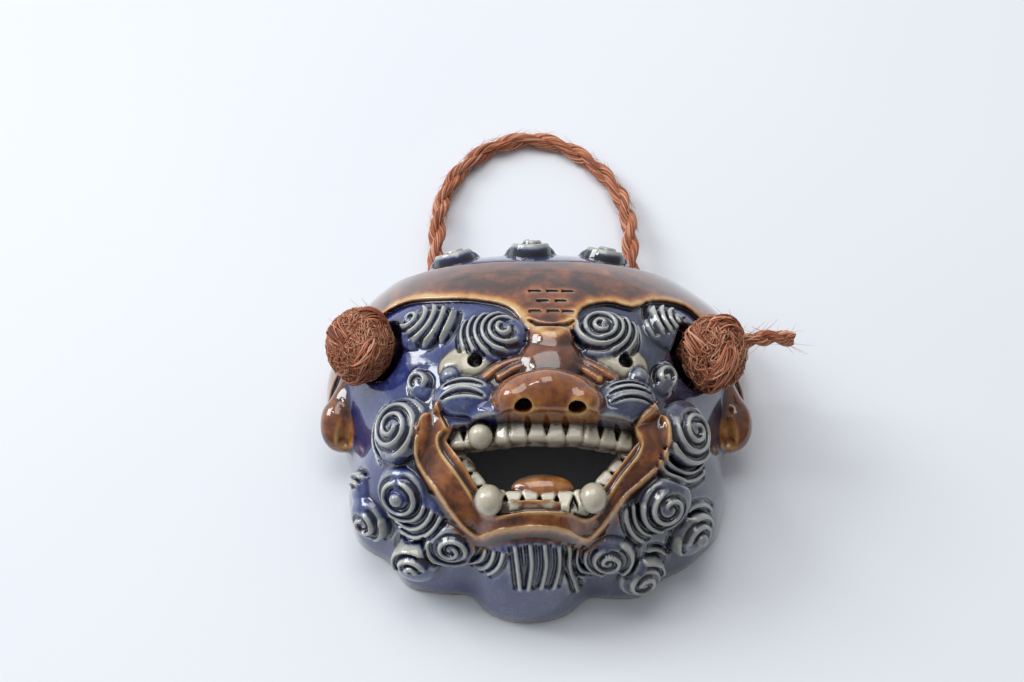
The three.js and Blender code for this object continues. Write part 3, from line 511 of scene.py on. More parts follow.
# Each pocket is wider than its knot on the side of the face.
POCKETS = [KNOT_LEFT, KNOT_LEFT + [5, 0, 0], KNOT_RIGHT, KNOT_RIGHT - [5, 0, 0]]
ROUTE = [
    [-63.5, 18.5, 46.5], [-55.5, 22.5, 38], [-48, 29, 28.5], [-42.5, 45, 18], [-39.5, 62, 11],
    [-38.6, 78, 8.6], [-38.5, 92, 7.6], [-37.8, 102, 6.2], [-36.2, 111, 4.8], [-33.4, 118.5, 4],
    [-28.2, 126.5, 3.5], [-21, 133.6, 3.4], [-11.5, 138.6, 3.4], [-0.5, 140.4, 3.4], [10, 137.8, 3.4],
    [19.4, 131.8, 3.4], [27.6, 123.6, 3.8], [32.6, 115.5, 4.6], [35.9, 106, 6], [37.7, 94, 8.4],
    [37.4, 80, 10.4], [38.6, 62, 13], [43, 44, 19.5], [48.5, 27.5, 29.5], [56, 19.5, 38.5],
    [63.5, 15.5, 46.5],
]
ROPE = 6.5
TAIL = [[64, 16.4, 47], [70, 18, 47.6], [76, 19.5, 48], [84, 22, 46], [92.5, 23, 43]]
# Rows of short strokes on the cap: height in the plan, and their middles.
STROKE_ROWS = [[33.5, [-0.8, 5.6, 11]], [28.5, [2, 8.6]], [23.5, [-0.8, 5.6, 11]]]
STROKE_HALF = 1.7
STROKE_RADIUS = 0.62


# The clay as a grid of signed distances.
STEP = 0.5
LOW = np.array([-86.0, -76.0, -2.2])
HIGH = np.array([86.0, 88.0, 80.0])
axes = [LOW[i] + STEP * np.arange(int((HIGH[i] - LOW[i]) / STEP) + 1) for i in range(3)]
X, Y, Z = axes[0][:, None, None], axes[1][None, :, None], axes[2][None, None, :]


def window(centre, reach):
    """Slices of the grid around a place, and the coordinates in them."""
    reach = np.broadcast_to(reach, 3)
    cut = []
    for i in range(3):
        first = int(np.clip((centre[i] - reach[i] - LOW[i]) / STEP, 0, len(axes[i]) - 1))
        last = int(np.clip((centre[i] + reach[i] - LOW[i]) / STEP + 2, 1, len(axes[i])))
        cut.append(slice(first, last))
    cut = tuple(cut)
    return cut, X[cut[0]], Y[:, cut[1]], Z[:, :, cut[2]]


def window_round(points, room):
    return window((points.max(axis=0) + points.min(axis=0)) / 2, np.ptp(points, axis=0) / 2 + room)


def join(d, centre, reach, shape, blend):
    cut, *places = window(centre, reach)
    d[cut] = smooth_min(d[cut], shape(*places), blend)


def carve(d, centre, reach, shape, blend):
    cut, *places = window(centre, reach)
    d[cut] = smooth_max(d[cut], -shape(*places), blend)


def dome(inset, rise, side_top):
    """First-order distance to the dome of the skin, over the whole grid."""
    share = plan_share(X[:, :, 0], Y[:, :, 0], inset)
    gx, gy = np.gradient(share, STEP)
    lift = np.maximum(Z - side_top, 0) / rise
    value = share[:, :, None] + lift ** CROWN_POWER - 1
    slope_z = CROWN_POWER * lift ** (CROWN_POWER - 1) / rise
    slope = np.sqrt((gx ** 2 + gy ** 2)[:, :, None] + slope_z ** 2)
    return np.clip(value / np.maximum(slope, 0.004), -30, 30).astype(np.float32)


class ToothRow:
    def __init__(self, start, end, inward, tall):
        self.start = np.array(start, float)
        self.along = np.array(end, float) - self.start
        self.length = np.linalg.norm(self.along)
        self.along /= self.length
        into = unit(inward)
        self.into = unit(into - self.along * into.dot(self.along))
        front = np.cross(self.along, self.into)
        self.front = front * np.sign(front[2])
        self.tall = tall
        self.count = max(1, round(self.length / TOOTH_PITCH))
        self.pitch = self.length / self.count
        self.centre = self.start + self.along * self.length / 2 + self.into * tall / 2

    def local(self, x, y, z):
        return in_frame(offsets(self.start, x, y, z), (self.along, self.into, self.front))

    def distance(self, x, y, z):
        """Teeth that meet at their tips, with wedge-shaped pits between their roots."""
        a, b, c = self.local(x, y, z)
        cell = np.clip(np.floor(a / self.pitch), 0, self.count - 1)
        sway = 0.5 * np.sin(cell * 2.4 + self.start[0])
        phase = np.abs(a / self.pitch - cell - 0.5) * 2
        seam = 0.3 * smoothstep(0.6, 1.05, phase)
        round_off = 1.5
        half_deep = 4.0
        u = np.abs(a - self.length / 2) - self.length / 2 + round_off
        v = np.abs(b - self.tall / 2 + 1.0 - 0.4 * sway) - self.tall / 2 - 1.2 + round_off + seam
        w = np.abs(c + half_deep - 0.4 * sway) - half_deep + round_off + seam
        outside = np.sqrt(np.maximum(u, 0) ** 2 + np.maximum(v, 0) ** 2 + np.maximum(w, 0) ** 2)
        tooth = outside + np.minimum(np.maximum(np.maximum(u, v), w), 0) - round_off
        gap = np.abs(a - np.round(a / self.pitch) * self.pitch)
        inner = (a > self.pitch * 0.4) & (a < self.length - self.pitch * 0.4)
        pit = np.maximum(gap - 1.9 * np.clip(0.72 - b / self.tall, 0, 0.8), -(c + 3.6))
        return np.where(inner, smooth_max(tooth, -pit, 0.35), tooth)


def ear_distance(side, x, y, z):
    """A flat drop with a raised rim: distance, and how far a place is into its dish."""
    count = 40
    spine = spline(EAR_SPINE, count)
    place = np.linspace(0, len(EAR_WIDE) - 1, count)
    wide = np.interp(place, np.arange(len(EAR_WIDE)), EAR_WIDE)
    t = np.linspace(0, 1, count)
    wide *= np.sqrt(np.maximum(1.01 - (np.maximum(t - 0.76, 0) / 0.24) ** 2, 0.02))
    out = unit([1.0, 0, 0.5])
    best = np.full(np.broadcast(x, y, z).shape, 1e9)
    dish = np.full(best.shape, 1e9)
    along = unit(np.gradient(spine, axis=0))
    for p, w, way in zip(spine, wide, along):
        normal = unit(np.cross(out, way))
        facing = np.cross(way, out)
        facing = unit(facing if facing[2] > 0 else -facing)
        u, v, q, lift = in_frame(offsets(p, side * x, y, z), (out, way, normal, facing))
        near = ellipsoid_share(u, v, q, (w, 0.8 * w, 0.72 * w))
        best = np.minimum(best, (near - 1) * 0.72 * w)
        inner = ellipsoid_share(u, v, lift - 0.95 * w, (0.6 * w, 0.6 * w, 0.36 * w))
        dish = np.minimum(dish, (inner - 1) * 0.36 * w)
    return best, dish


def bore(start, end, radius):
    """The distance function of a round bar with round ends."""
    start, end = np.array(start, float), np.array(end, float)
    way = end - start

    def distance(x, y, z):
        offset = offsets(start, x, y, z)
        t = np.clip(in_frame(offset, [way])[0] / way.dot(way), 0, 1)
        return np.sqrt(sum((d - t * w) ** 2 for d, w in zip(offset, way))) - radius

    return distance


def pupil_pits():
    for place in map(on_skin, PUPIL_PLACES):
        normal = skin_normal(place)
        yield place, bore(place + normal * 8, place - normal * 0.4, 2.5)


lumps = [Lump(**row) for row in CURLS + BROWS + PADS + PAD_TAILS + EYES]
knobs = [Lump(**row) for row in KNOBS]
nose = [Lump(**row) for row in NOSE]
eyes = lumps[-2:]
TAILS_FROM = len(CURLS) + len(BROWS) + len(PADS)
tooth_rows = [ToothRow(*row) for row in TOOTH_ROWS]
cap_outline = np.vstack([spline(CAP_EDGE, 70), CAP_TOP])
crease = spline(CREASE, 40)
lip_lines = [spline(LIP_OUTER, 260), spline(LIP_INNER, 240)]
lip_band = np.vstack([lip_lines[0][::4], lip_lines[1][::-4]])
wings = [spline([on_skin(p) for p in row], 30) for row in WINGS]
chin = Lump(**lump(0, -61, 32, 1, 1, 0.1))
for row in HAIRS:
    u, v, _ = chin.local(*np.array([on_skin(p) for p in row]).T)
    chin.lines.append(spline(np.column_stack([u, v]), 60))
chin.reach = max(np.abs(line).max() for line in chin.lines) + 4
chin.map = chin.relief_map() * 1.25


def clay_distance():
    d = dome(0, CROWN, RIM)
    cap_plan = outline_distance(cap_outline, X[:, :, 0], Y[:, :, 0])[:, :, None]
    cap = smooth_max(dome(-1.8, CROWN + 0.9, RIM + 0.9), cap_plan.astype(np.float32), 0.9)
    d = smooth_min(d, np.maximum(cap, RIM - Z), 0.5).astype(np.float32)
    for one in lumps + nose:
        join(d, one.centre, max(one.half) + 5, one.distance, one.blend)
    for points in wings:
        cut, x, y, z = window_round(points, 6)
        index, gap = nearest(points, x[:, :, 0], y[:, :, 0])
        lift = z - points[index, 2][:, :, None]
        tube = np.sqrt(gap[:, :, None] ** 2 + (lift - 0.4) ** 2) - 1.7
        d[cut] = smooth_min(d[cut], tube, 0.9)
    for one in lumps + [chin]:
        if one.map is not None:
            cut, x, y, z = window(one.centre, one.reach + 2)
            d[cut] -= one.relief(x, y, z)
    for one in knobs:
        join(d, one.centre, max(one.half) + 5, one.distance, one.blend)
    for one in lumps:
        if one.knob:
            place = one.centre + one.normal * one.half[2]
            join(d, place, one.knob + 2, ball(place, [one.knob] * 3), 0.5)
    cut, x, y, z = window([2, -33, 45], [50, 28, 32])
    plan_x, plan_y = x[:, :, 0], y[:, :, 0]
    band = LIP_RAISE * (1 - smoothstep(-0.5, 0.9, outline_distance(lip_band, plan_x, plan_y)))
    for line, tall in zip(lip_lines, (1.0, 0.8)):
        index, gap = nearest(line, plan_x, plan_y)
        run = index / (len(line) - 1)
        tall = tall * smoothstep(0, 0.08, run) * smoothstep(0, 0.08, 1 - run)
        band = np.maximum(band, (band + tall) * (1 - smoothstep(0, 1.5, gap)))
    d[cut] -= band[:, :, None] * (z > 12)
    cut, x, y, z = window([5, 18, 62], [12, 6, 10])
    index, gap = nearest(crease, x[:, :, 0], y[:, :, 0])
    lens = 1.1 * np.sin(np.pi * index / (len(crease) - 1))
    d[cut] += (1.6 * (1 - smoothstep(lens * 0.3, lens + 0.5, gap)))[:, :, None]
    for side in (-1, 1):
        cut, x, y, z = window([side * 70, 6, 20], [16, 28, 18])
        body, dish = ear_distance(side, x, y, z)
        d[cut] = smooth_min(d[cut], smooth_max(body, -dish, 1.2), 3.0)
    for y0, row in STROKE_ROWS:
        for x0 in row:
            z0 = float(skin_height(np.array(x0), np.array(y0))) + 1.8
            cut, x, y, z = window([x0, y0, z0], [4.5, 3, 3])
            slot = np.hypot(np.maximum(np.abs(x - x0) - STROKE_HALF, 0), y - y0) - STROKE_RADIUS
            d[cut] = smooth_max(d[cut], -np.maximum(slot, z0 - 0.9 - z), 0.3)

    hollow = dome(WALL, CROWN - WALL / 2, RIM - WALL / 2)
    for knot in POCKETS:
        carve(hollow, knot, 22, ball(knot, KNOT + KNOT_ROOM + WALL * 0.8), 1.5)
    d = smooth_max(d, -hollow, 0.6)

    cut, x, y, z = window([1, -33, 40], [44, 22, 42])
    mouth = outline_distance(MOUTH, x[:, :, 0], y[:, :, 0])[:, :, None]
    d[cut] = smooth_max(d[cut], -mouth, 0.6)
    path = spline(ROUTE, 260)
    for part in (path[:36], path[-36:]):
        cut, x, y, z = window_round(part, 6)
        way = np.full(np.broadcast(x, y, z).shape, 1e9)
        for p in part[::2]:
            way = np.minimum(way, sum(side ** 2 for side in offsets(p, x, y, z)))
        d[cut] = smooth_max(d[cut], -(np.sqrt(way) - ROPE / 2 - 0.6), 0.4)
    for knot in POCKETS:
        carve(d, knot, 18, ball(knot, KNOT + KNOT_ROOM), 0.5)
    for leg_x, leg_z in ((-38.6, 8.6), (37.4, 10.4)):
        cut, x, y, z = window([leg_x, 78, 6], [7, 24, 12])
        arch = np.hypot(x - leg_x, np.maximum(z - leg_z, 0)) - ROPE / 2 - 1.5
        d[cut] = smooth_max(d[cut], -np.maximum(arch, 57 - y), 0.5)
    for start, end in NOSTRILS:
        carve(d, start, 14, bore(start, end, 3.0), 0.6)
    for place, pit in pupil_pits():
        carve(d, place, 12, pit, 0.3)

    for row in tooth_rows:
        join(d, row.centre - row.front * 4, np.abs(row.along) * row.length / 2 + 8, row.distance, 0.4)
    for place, half in FANGS + [TONGUE]:
        join(d, place, np.array(half) + 2, ball(place, half), 0.5)
    return np.maximum(d, -Z).astype(np.float32), hollow


def surface_net(field):
    """A closed mesh of quads round the negative cells of a grid."""
    inside = field < 0
    shape = np.array(field.shape) - 1
    corners = list(np.ndindex(2, 2, 2))
    count = np.zeros(shape, np.uint8)
    for i, j, k in corners:
        count += inside[i:i + shape[0], j:j + shape[1], k:k + shape[2]]
    cells = np.nonzero((count > 0) & (count < 8))
    index = np.full(shape, -1, np.int32)
    index[cells] = np.arange(len(cells[0]))
    value = {c: field[cells[0] + c[0], cells[1] + c[1], cells[2] + c[2]] for c in corners}
    total = np.zeros((len(cells[0]), 3))
    hits = np.zeros(len(cells[0]))
    for a in corners:
        for axis in range(3):
            if a[axis]:
                continue
            b = tuple(v + (i == axis) for i, v in enumerate(a))
            crosses = (value[a] < 0) != (value[b] < 0)
            t = np.where(crosses, value[a] / np.where(crosses, value[a] - value[b], 1), 0)
            for i in range(3):
                total[:, i] += crosses * (a[i] + (t if i == axis else 0))
            hits += crosses
    points = (np.stack(cells, axis=1) + total / hits[:, None]) * STEP + LOW
    faces = []
    for axis in range(3):
        b, c = (axis + 1) % 3, (axis + 2) % 3
        low = np.take(inside, range(shape[axis]), axis)
        high = np.take(inside, range(1, shape[axis] + 1), axis)
        edges = np.array(np.nonzero(low != high))
        edges = edges[:, (edges[b] > 0) & (edges[c] > 0) & (edges[b] < shape[b]) & (edges[c] < shape[c])]
        quad = []
        for db, dc in ((-1, -1), (0, -1), (0, 0), (-1, 0)):
            at = edges.copy()
            at[b] += db
            at[c] += dc
            quad.append(index[tuple(at)])
        quad = np.stack(quad, axis=1)
        outward = low[tuple(edges)]
        faces.append(np.where(outward[:, None], quad, quad[:, ::-1]))
    return points, np.vstack(faces)


def sample(field, points):
    """The grid's value at points, between its nodes."""
    at = (points - LOW) / STEP
    base = np.clip(at.astype(int), 0, np.array(field.shape) - 2)
    f = at - base
    total = np.zeros(len(points))
    for corner in np.ndindex(2, 2, 2):
        weight = np.abs(1 - np.array(corner) - f).prod(axis=1)
        total += weight * field[tuple((base + corner).T)]
    return total


def softened(field):
    for axis in range(3):
        lower = np.take(field, [0] + list(range(field.shape[axis] - 1)), axis)
        upper = np.take(field, list(range(1, field.shape[axis])) + [-1], axis)
        field = (field * 2 + lower + upper) / 4
    return field


# Materials.
class Nodes:
    """The nodes of a material or world. An input may be a socket, a number or a colour."""

    def __init__(self, owner, shader="Principled BSDF"):
        owner.use_nodes = True
        self.tree = owner.node_tree
        self.inputs = self.tree.nodes[shader].inputs
        self.places = self.add("ShaderNodeTexCoord").outputs

    def add(self, kind, inputs=None, **settings):
        node = self.tree.nodes.new(kind)
        for key, value in settings.items():
            setattr(node, key, value)
        for key, value in (inputs or {}).items():
            self.put(node.inputs[key], value)
        return node

    def put(self, socket, value):
        if isinstance(value, bpy.types.NodeSocket):
            self.tree.links.new(value, socket)
        elif isinstance(value, tuple) and len(value) == 3 and socket.type == "RGBA":
            socket.default_value = (*value, 1)
        else:
            socket.default_value = value

    def noise(self, scale, detail, rough=0.55, warp=0.0):
        node = self.add("ShaderNodeTexNoise", {"Vector": self.places["Object"], "Scale": scale,
                                               "Detail": detail, "Roughness": rough, "Distortion": warp})
        return node.outputs["Fac"]

    def math(self, kind, a, b=0.0, c=0.0, clamp=False):
        node = self.add("ShaderNodeMath", operation=kind, use_clamp=clamp)
        for socket, value in zip(node.inputs, (a, b, c)):
            self.put(socket, value)
        return node.outputs[0]

    def ramp(self, fac, stops):
        node = self.add("ShaderNodeValToRGB", {"Fac": fac})
        ramp = node.color_ramp
        while len(ramp.elements) < len(stops):
            ramp.elements.new(0.5)
        for element, (at, colour) in zip(ramp.elements, stops):
            element.position = at
            element.color = (*colour, 1)
        return node.outputs["Color"]

    def mix(self, fac, a, b):
        node = self.add("ShaderNodeMix", data_type="RGBA")
        self.put(node.inputs["Factor"], fac)
        self.put(node.inputs["A"], a)
        self.put(node.inputs["B"], b)
        return node.outputs["Result"]

    def bump(self, height, strength, distance):
        node = self.add("ShaderNodeBump", {"Height": height, "Strength": strength, "Distance": distance})
        self.put(self.inputs["Normal"], node.outputs["Normal"])

    def channels(self, name):
        node = self.add("ShaderNodeAttribute", attribute_name=name)
        split = self.add("ShaderNodeSeparateColor", {"Color": node.outputs["Color"]})
        return split.outputs["Red"], split.outputs["Green"], split.outputs["Blue"]


def glaze_material():
    """Cobalt, brown and ivory glazes that thin to a pale line on edges and pool dark in hollows, with painted
    shade round the knot pockets and a painted grey reflection over the right side of the blue.
    """
    material = bpy.data.materials.new("stoneware_glaze")
    n = Nodes(material)
    brown, ivory, clay = n.channels("coat")
    form, amber, painted_grey_reflection = n.channels("form")
    broad = n.noise(55, 3)
    cloud = n.noise(170, 4, 0.6, warp=0.4)
    fine = n.noise(900, 3, 0.6)
    speck = n.noise(2600, 2)

    drift = n.math("MULTIPLY_ADD", cloud, 0.34, -0.17)
    drift = n.math("MULTIPLY_ADD", fine, 0.18, n.math("SUBTRACT", drift, 0.09))
    blue_at = n.math("ADD", form, drift, clamp=True)
    cobalt = n.ramp(blue_at, [
        (0.10, (0.002, 0.002, 0.010)), (0.34, (0.006, 0.010, 0.065)), (0.50, (0.022, 0.038, 0.17)),
        (0.62, (0.075, 0.10, 0.22)), (0.76, (0.25, 0.28, 0.30)), (0.95, (0.44, 0.45, 0.41))])
    # Painted reflection: a greyer copy of the cobalt, standing for the grey room that the right side of the
    # mask reflects.
    painted_reflection_blue = n.ramp(blue_at, [
        (0.10, (0.003, 0.003, 0.007)), (0.34, (0.010, 0.013, 0.035)), (0.50, (0.042, 0.050, 0.098)),
        (0.62, (0.095, 0.105, 0.145)), (0.76, (0.22, 0.235, 0.24)), (0.95, (0.38, 0.385, 0.35))])
    # The painted reflection share greys the blue towards +x; broad noise adds random drift of the glaze.
    blue = n.mix(n.math("MULTIPLY_ADD", broad, 0.5, n.math("SUBTRACT", painted_grey_reflection, 0.25), clamp=True),
                 cobalt, painted_reflection_blue)

    heat = n.math("MULTIPLY_ADD", broad, 0.5, n.math("MULTIPLY_ADD", form, 0.8, -0.15))
    heat = n.math("MULTIPLY_ADD", cloud, 0.7, n.math("SUBTRACT", heat, 0.47))
    heat = n.math("MULTIPLY_ADD", amber, 0.42, heat, clamp=True)
    honey = n.ramp(heat, [
        (0.08, (0.006, 0.004, 0.002)), (0.30, (0.045, 0.013, 0.006)), (0.46, (0.16, 0.043, 0.012)),
        (0.62, (0.32, 0.10, 0.018)), (0.80, (0.52, 0.25, 0.06)), (0.98, (0.62, 0.42, 0.20))])
    stain = n.ramp(n.math("MULTIPLY_ADD", fine, 0.3, n.math("SUBTRACT", form, 0.15), clamp=True), [
        (0.10, (0.012, 0.010, 0.005)), (0.32, (0.10, 0.082, 0.045)), (0.50, (0.42, 0.375, 0.27)),
        (0.75, (0.58, 0.535, 0.41))])
    body = n.ramp(n.math("MULTIPLY_ADD", fine, 0.6, n.math("MULTIPLY", cloud, 0.4)), [
        (0.3, (0.055, 0.032, 0.022)), (0.55, (0.11, 0.068, 0.045)), (0.8, (0.17, 0.12, 0.085))])
    plum = n.math("MULTIPLY", amber, -2.4, clamp=True)
    honey = n.mix(plum, honey, n.mix(cloud, (0.060, 0.022, 0.016), (0.026, 0.016, 0.018)))
    colour = n.mix(brown, blue, honey)
    colour = n.mix(ivory, colour, stain)
    colour = n.mix(clay, colour, body)
    dots = n.math("GREATER_THAN", speck, 0.70)
    colour = n.mix(n.math("MULTIPLY", dots, 0.35), colour, (0.03, 0.02, 0.015))
    n.put(n.inputs["Base Color"], colour)

    gloss = n.math("MULTIPLY_ADD", ivory, 0.22, n.math("MULTIPLY_ADD", cloud, 0.10, 0.03))
    gloss = n.math("MULTIPLY_ADD", clay, 0.6, gloss, clamp=True)
    n.put(n.inputs["Roughness"], gloss)
    n.inputs["IOR"].default_value = 1.55
    n.inputs["Coat Weight"].default_value = 1.0
    n.inputs["Coat Roughness"].default_value = 0.04
    n.bump(n.math("MULTIPLY_ADD", cloud, 0.8, n.math("MULTIPLY", fine, 0.25)), 0.22, 0.0006)
    return material


def palm_material():
    """Dry palm fibre: every fibre has its own brown, and painted shade darkens the fibres that lie deep in a
    strand or knot.
    """
    material = bpy.data.materials.new("palm_fibre")
    n = Nodes(material)
    tone, inner_shade, _ = n.channels("fibre")
    grain = n.noise(1500, 3, 0.6)
    broad = n.noise(90, 2)
    at = n.math("MULTIPLY_ADD", grain, 0.3, n.math("SUBTRACT", tone, 0.15))
    at = n.math("MULTIPLY_ADD", broad, 0.35, n.math("SUBTRACT", at, 0.02), clamp=True)
    colour = n.ramp(at, [
        (0.05, (0.07, 0.017, 0.006)), (0.35, (0.22, 0.052, 0.018)), (0.6, (0.42, 0.125, 0.052)),
        (0.85, (0.60, 0.24, 0.125)), (1.0, (0.70, 0.38, 0.24))])
    # Painted shade: fibres deep in a strand or knot are mixed towards near black.
    colour = n.mix(inner_shade, colour, (0.025, 0.008, 0.004))
    n.put(n.inputs["Base Color"], colour)
    n.put(n.inputs["Roughness"], n.math("MULTIPLY_ADD", grain, 0.25, 0.5))
    n.bump(grain, 0.4, 0.0002)
    return material


def cover(value, low=-0.2, high=1.0):
    return 1 - smoothstep(low, high, value)


def paint(layer, share):
    np.maximum(layer, share, out=layer)


def coat_of(points, clay, hollow):
    """Where each glaze lies, as two colour layers of the vertices; the second also carries painted shade
    round the knot pockets and a painted reflection that greys the right side.
    """
    x, y, z = points.T
    relief = softened(clay)
    reach = 0.9
    bend = -6 * sample(relief, points)
    for way in np.vstack([np.eye(3), -np.eye(3)]):
        bend += sample(relief, points + way * reach)
    bend = np.clip(bend / reach ** 2, -1.5, 1.5)
    form = np.clip(0.5 + 0.42 * bend, 0, 1)

    # Painted shade round each knot pocket, where the knot shades the hollow; it also stands for glaze pooled
    # dark there.
    for knot in POCKETS:
        form = form * (1 - 0.75 * cover(ball(knot, KNOT + KNOT_ROOM)(x, y, z), 0.3, 1.4))
    inner = cover(np.abs(sample(hollow, points)), 0.4, 1.6)
    rim = cover(z, 0.2, 0.9)
    clay_bare = np.clip(inner + rim, 0, 1)

    cap_plan = outline_distance(cap_outline, x, y)
    brown = cover(cap_plan, -0.3, 0.5)
    amber = 0.9 * np.exp(-(((cap_plan + 1.6) / 1.5) ** 2)) * (y < 42) * (brown > 0.2)
    amber *= cover(np.abs(x), 50, 62)
    amber -= 0.32 * cover(cap_plan, -7, -3.5) + 0.3 * smoothstep(56, 64, np.abs(x)) * (y > 0)
    for one in nose:
        paint(brown, cover(one.distance(x, y, z), 0.2, 1.2))
    for points_of in wings:
        _, gap = nearest(points_of, x, y)
        paint(brown, cover(gap, 2.4, 3.4) * (z > 50))
    for one in lumps[:-2]:
        if one.centre[2] > 40 and one.centre[1] <= 30:
            brown *= 1 - cover(one.distance(x, y, z), 0.0, 1.4)
    snout = np.full(len(x), 1e9)
    for one in nose[2:]:
        snout = np.minimum(snout, one.distance(x, y, z))
    paint(brown, cover(snout, 0.0, 0.8))
    for one in lumps[TAILS_FROM:TAILS_FROM + 2]:
        brown *= 1 - cover(one.distance(x, y, z), 0, 1.2) * smoothstep(0.2, 0.9, snout)
    paint(amber, 0.3 * cover(snout, 0, 1.5))
    band = outline_distance(lip_band, x, y)
    chin = smoothstep(44, 48, -y) * (np.abs(x) < 34)
    lip_zone = cover(band - 1.5 * chin, 0.6, 1.5) * (z > 20)
    gums = cover(outline_distance(lip_lines[0], x, y), 0, 0.8) * smoothstep(19, 21.5, -y)
    paint(brown, gums)
    amber = np.where(gums > 0.5, np.maximum(amber, -0.1), amber)
    edges = np.minimum(*(nearest(line, x, y)[1] for line in lip_lines))
    paint(brown, lip_zone)
    paint(amber, lip_zone * (0.28 + 0.12 * np.exp(-((edges / 1.2) ** 2))))
    corners = cover(outline_distance(MOUTH, x, y), 0.3, 1.5) * (y < -21)
    paint(brown, corners)
    for side in (-1, 1):
        near = (np.abs(x - side * 70) < 16) & (y > -20) & (y < 32) & (z < 38)
        body, dish = ear_distance(side, x[near], y[near], z[near])
        brown[near] = np.maximum(brown[near], cover(body, 0.4, 1.2))
        low_end = cover(y[near], -3, 5)
        amber[near] = np.maximum(amber[near], cover(dish, 0.2, 1.2) * 0.9 * low_end + 0.15)

    ivory = np.zeros(len(x))
    for one in eyes:
        paint(ivory, cover(one.distance(x, y, z), 0.3, 1.0))
    for one in lumps[:-2] + nose + knobs:
        ivory *= smoothstep(0.2, 0.9, one.distance(x, y, z))
    for _, pit in pupil_pits():
        form = np.where(cover(pit(x, y, z), 0.1, 0.7) > 0.5, form * 0.4, form)
    for row in tooth_rows:
        paint(ivory, cover(row.distance(x, y, z), 0.2, 0.7))
    for place, half in FANGS:
        paint(ivory, cover(ball(place, half)(x, y, z), 0.2, 0.7))
    tongue = cover(ball(*TONGUE)(x, y, z), 0.1, 0.6)
    ivory *= 1 - tongue
    paint(brown, tongue)
    paint(amber, tongue * 0.5)
    # Painted reflection: a share that rises towards +x, where the blue is greyed as if it reflected a grey
    # room.
    painted_grey_reflection = smoothstep(-25, 45, x)
    ones = np.ones(len(x))
    return {"coat": np.column_stack([brown, ivory, clay_bare, ones]),
            "form": np.column_stack([form, amber, painted_grey_reflection, ones])}


MASK_TRIANGLES = 190000


def mask_piece(material):
    clay, hollow = clay_distance()
    points, quads = surface_net(clay)
    piece = make_mesh("mask_carving", points, quads, material)
    thin = piece.modifiers.new("thin", "DECIMATE")
    thin.ratio = min(1.0, MASK_TRIANGLES / (2 * len(quads)))
    shaped = piece.evaluated_get(bpy.context.evaluated_depsgraph_get())
    mesh = bpy.data.meshes.new_from_object(shaped)
    dense = piece.data
    piece.modifiers.clear()
    piece.data = mesh
    bpy.data.meshes.remove(dense)
    mesh.validate()
    points = np.empty(len(mesh.vertices) * 3, np.float32)
    mesh.vertices.foreach_get("co", points)
    points = points.reshape(-1, 3).astype(float)
    slope = [sample(clay, points + s) - sample(clay, points - s) for s in np.eye(3) * STEP * 0.7]
    set_attributes(mesh, coat_of(points, clay, hollow))
    mesh.vertices.foreach_set("co", in_metres(points).astype(np.float32).ravel())
    mesh.update()
    mesh.normals_split_custom_set_from_vertices(unit(np.stack(slope, axis=1)))
    return piece


# Palm fibre. LOWEST keeps it off the table.
LOWEST = 0.05
ROPE_LAY = 29.0
STRAND = 4.1  # half width of the strand that each knot is tied from


def fibre_mesh(name, bundles, material):
    """One mesh of closed fibres. Each bundle is paths, radii, sides, tones and the painted shade of its
    fibres.
    """
    verts, faces, colours = [], [], []
    start = 0
    for paths, radii, sides, tones, depths in bundles:
        v, f = tubes(paths, radii, sides)
        per = [len(p) * sides for p in paths]
        colours.append(np.column_stack([np.repeat(tones, per), np.repeat(depths, per),
                                        np.zeros(sum(per)), np.ones(sum(per))]))
        verts.append(v)
        faces.append(f + start)
        start += len(v)
    verts = np.vstack(verts)
    verts[:, 2] = np.maximum(verts[:, 2], LOWEST)
    return make_mesh(name, in_metres(verts), np.vstack(faces), material,
                     attributes={"fibre": np.vstack(colours)})


def yarn(path, radius, lay, count, fibre, wobble):
    """Fibres that run along a path on the outside of a twisted strand."""
    _, side, up = frames_along(path)
    run = run_along(path)
    paths, radii = [], []
    for i in range(count):
        swing = wobble * np.interp(run, np.linspace(0, run[-1], 9), rng.normal(0, 1, 9))
        turn = 2 * np.pi * (i / count + run / lay) + swing
        out = radius * (1 + 0.06 * np.interp(run, np.linspace(0, run[-1], 25), rng.normal(0, 1, 25)))
        paths.append(path + around(side, up, turn) * out[:, None])
        radii.append(np.full(len(path), fibre) * rng.uniform(0.75, 1.25))
    return paths, radii


def twisted(path, diameter, strands, lay, fibres, fibre):
    """A laid rope: strands that turn round each other, each a core with fibres wound on it."""
    _, side, up = frames_along(path)
    run = run_along(path)
    strand = diameter * 0.28
    bundles = []
    for i in range(strands):
        turn = 2 * np.pi * (i / strands + run / lay)
        out = diameter / 2 - strand
        middle = path + around(side, up, turn) * out
        swell = 1 + 0.07 * np.interp(run, np.linspace(0, run[-1], 31), rng.normal(0, 1, 31))
        # The strand's core carries painted shade, as the fibres round it would shade it.
        bundles.append(([middle], [strand * 0.93 * swell], 12, [0.3], [0.25]))
        paths, radii = yarn(middle, strand * 0.9, -lay * 0.9, fibres, fibre, 0.5)
        bundles.append((paths, radii, 4, rng.uniform(0.3, 0.95, fibres), rng.uniform(0, 0.1, fibres)))
    return bundles


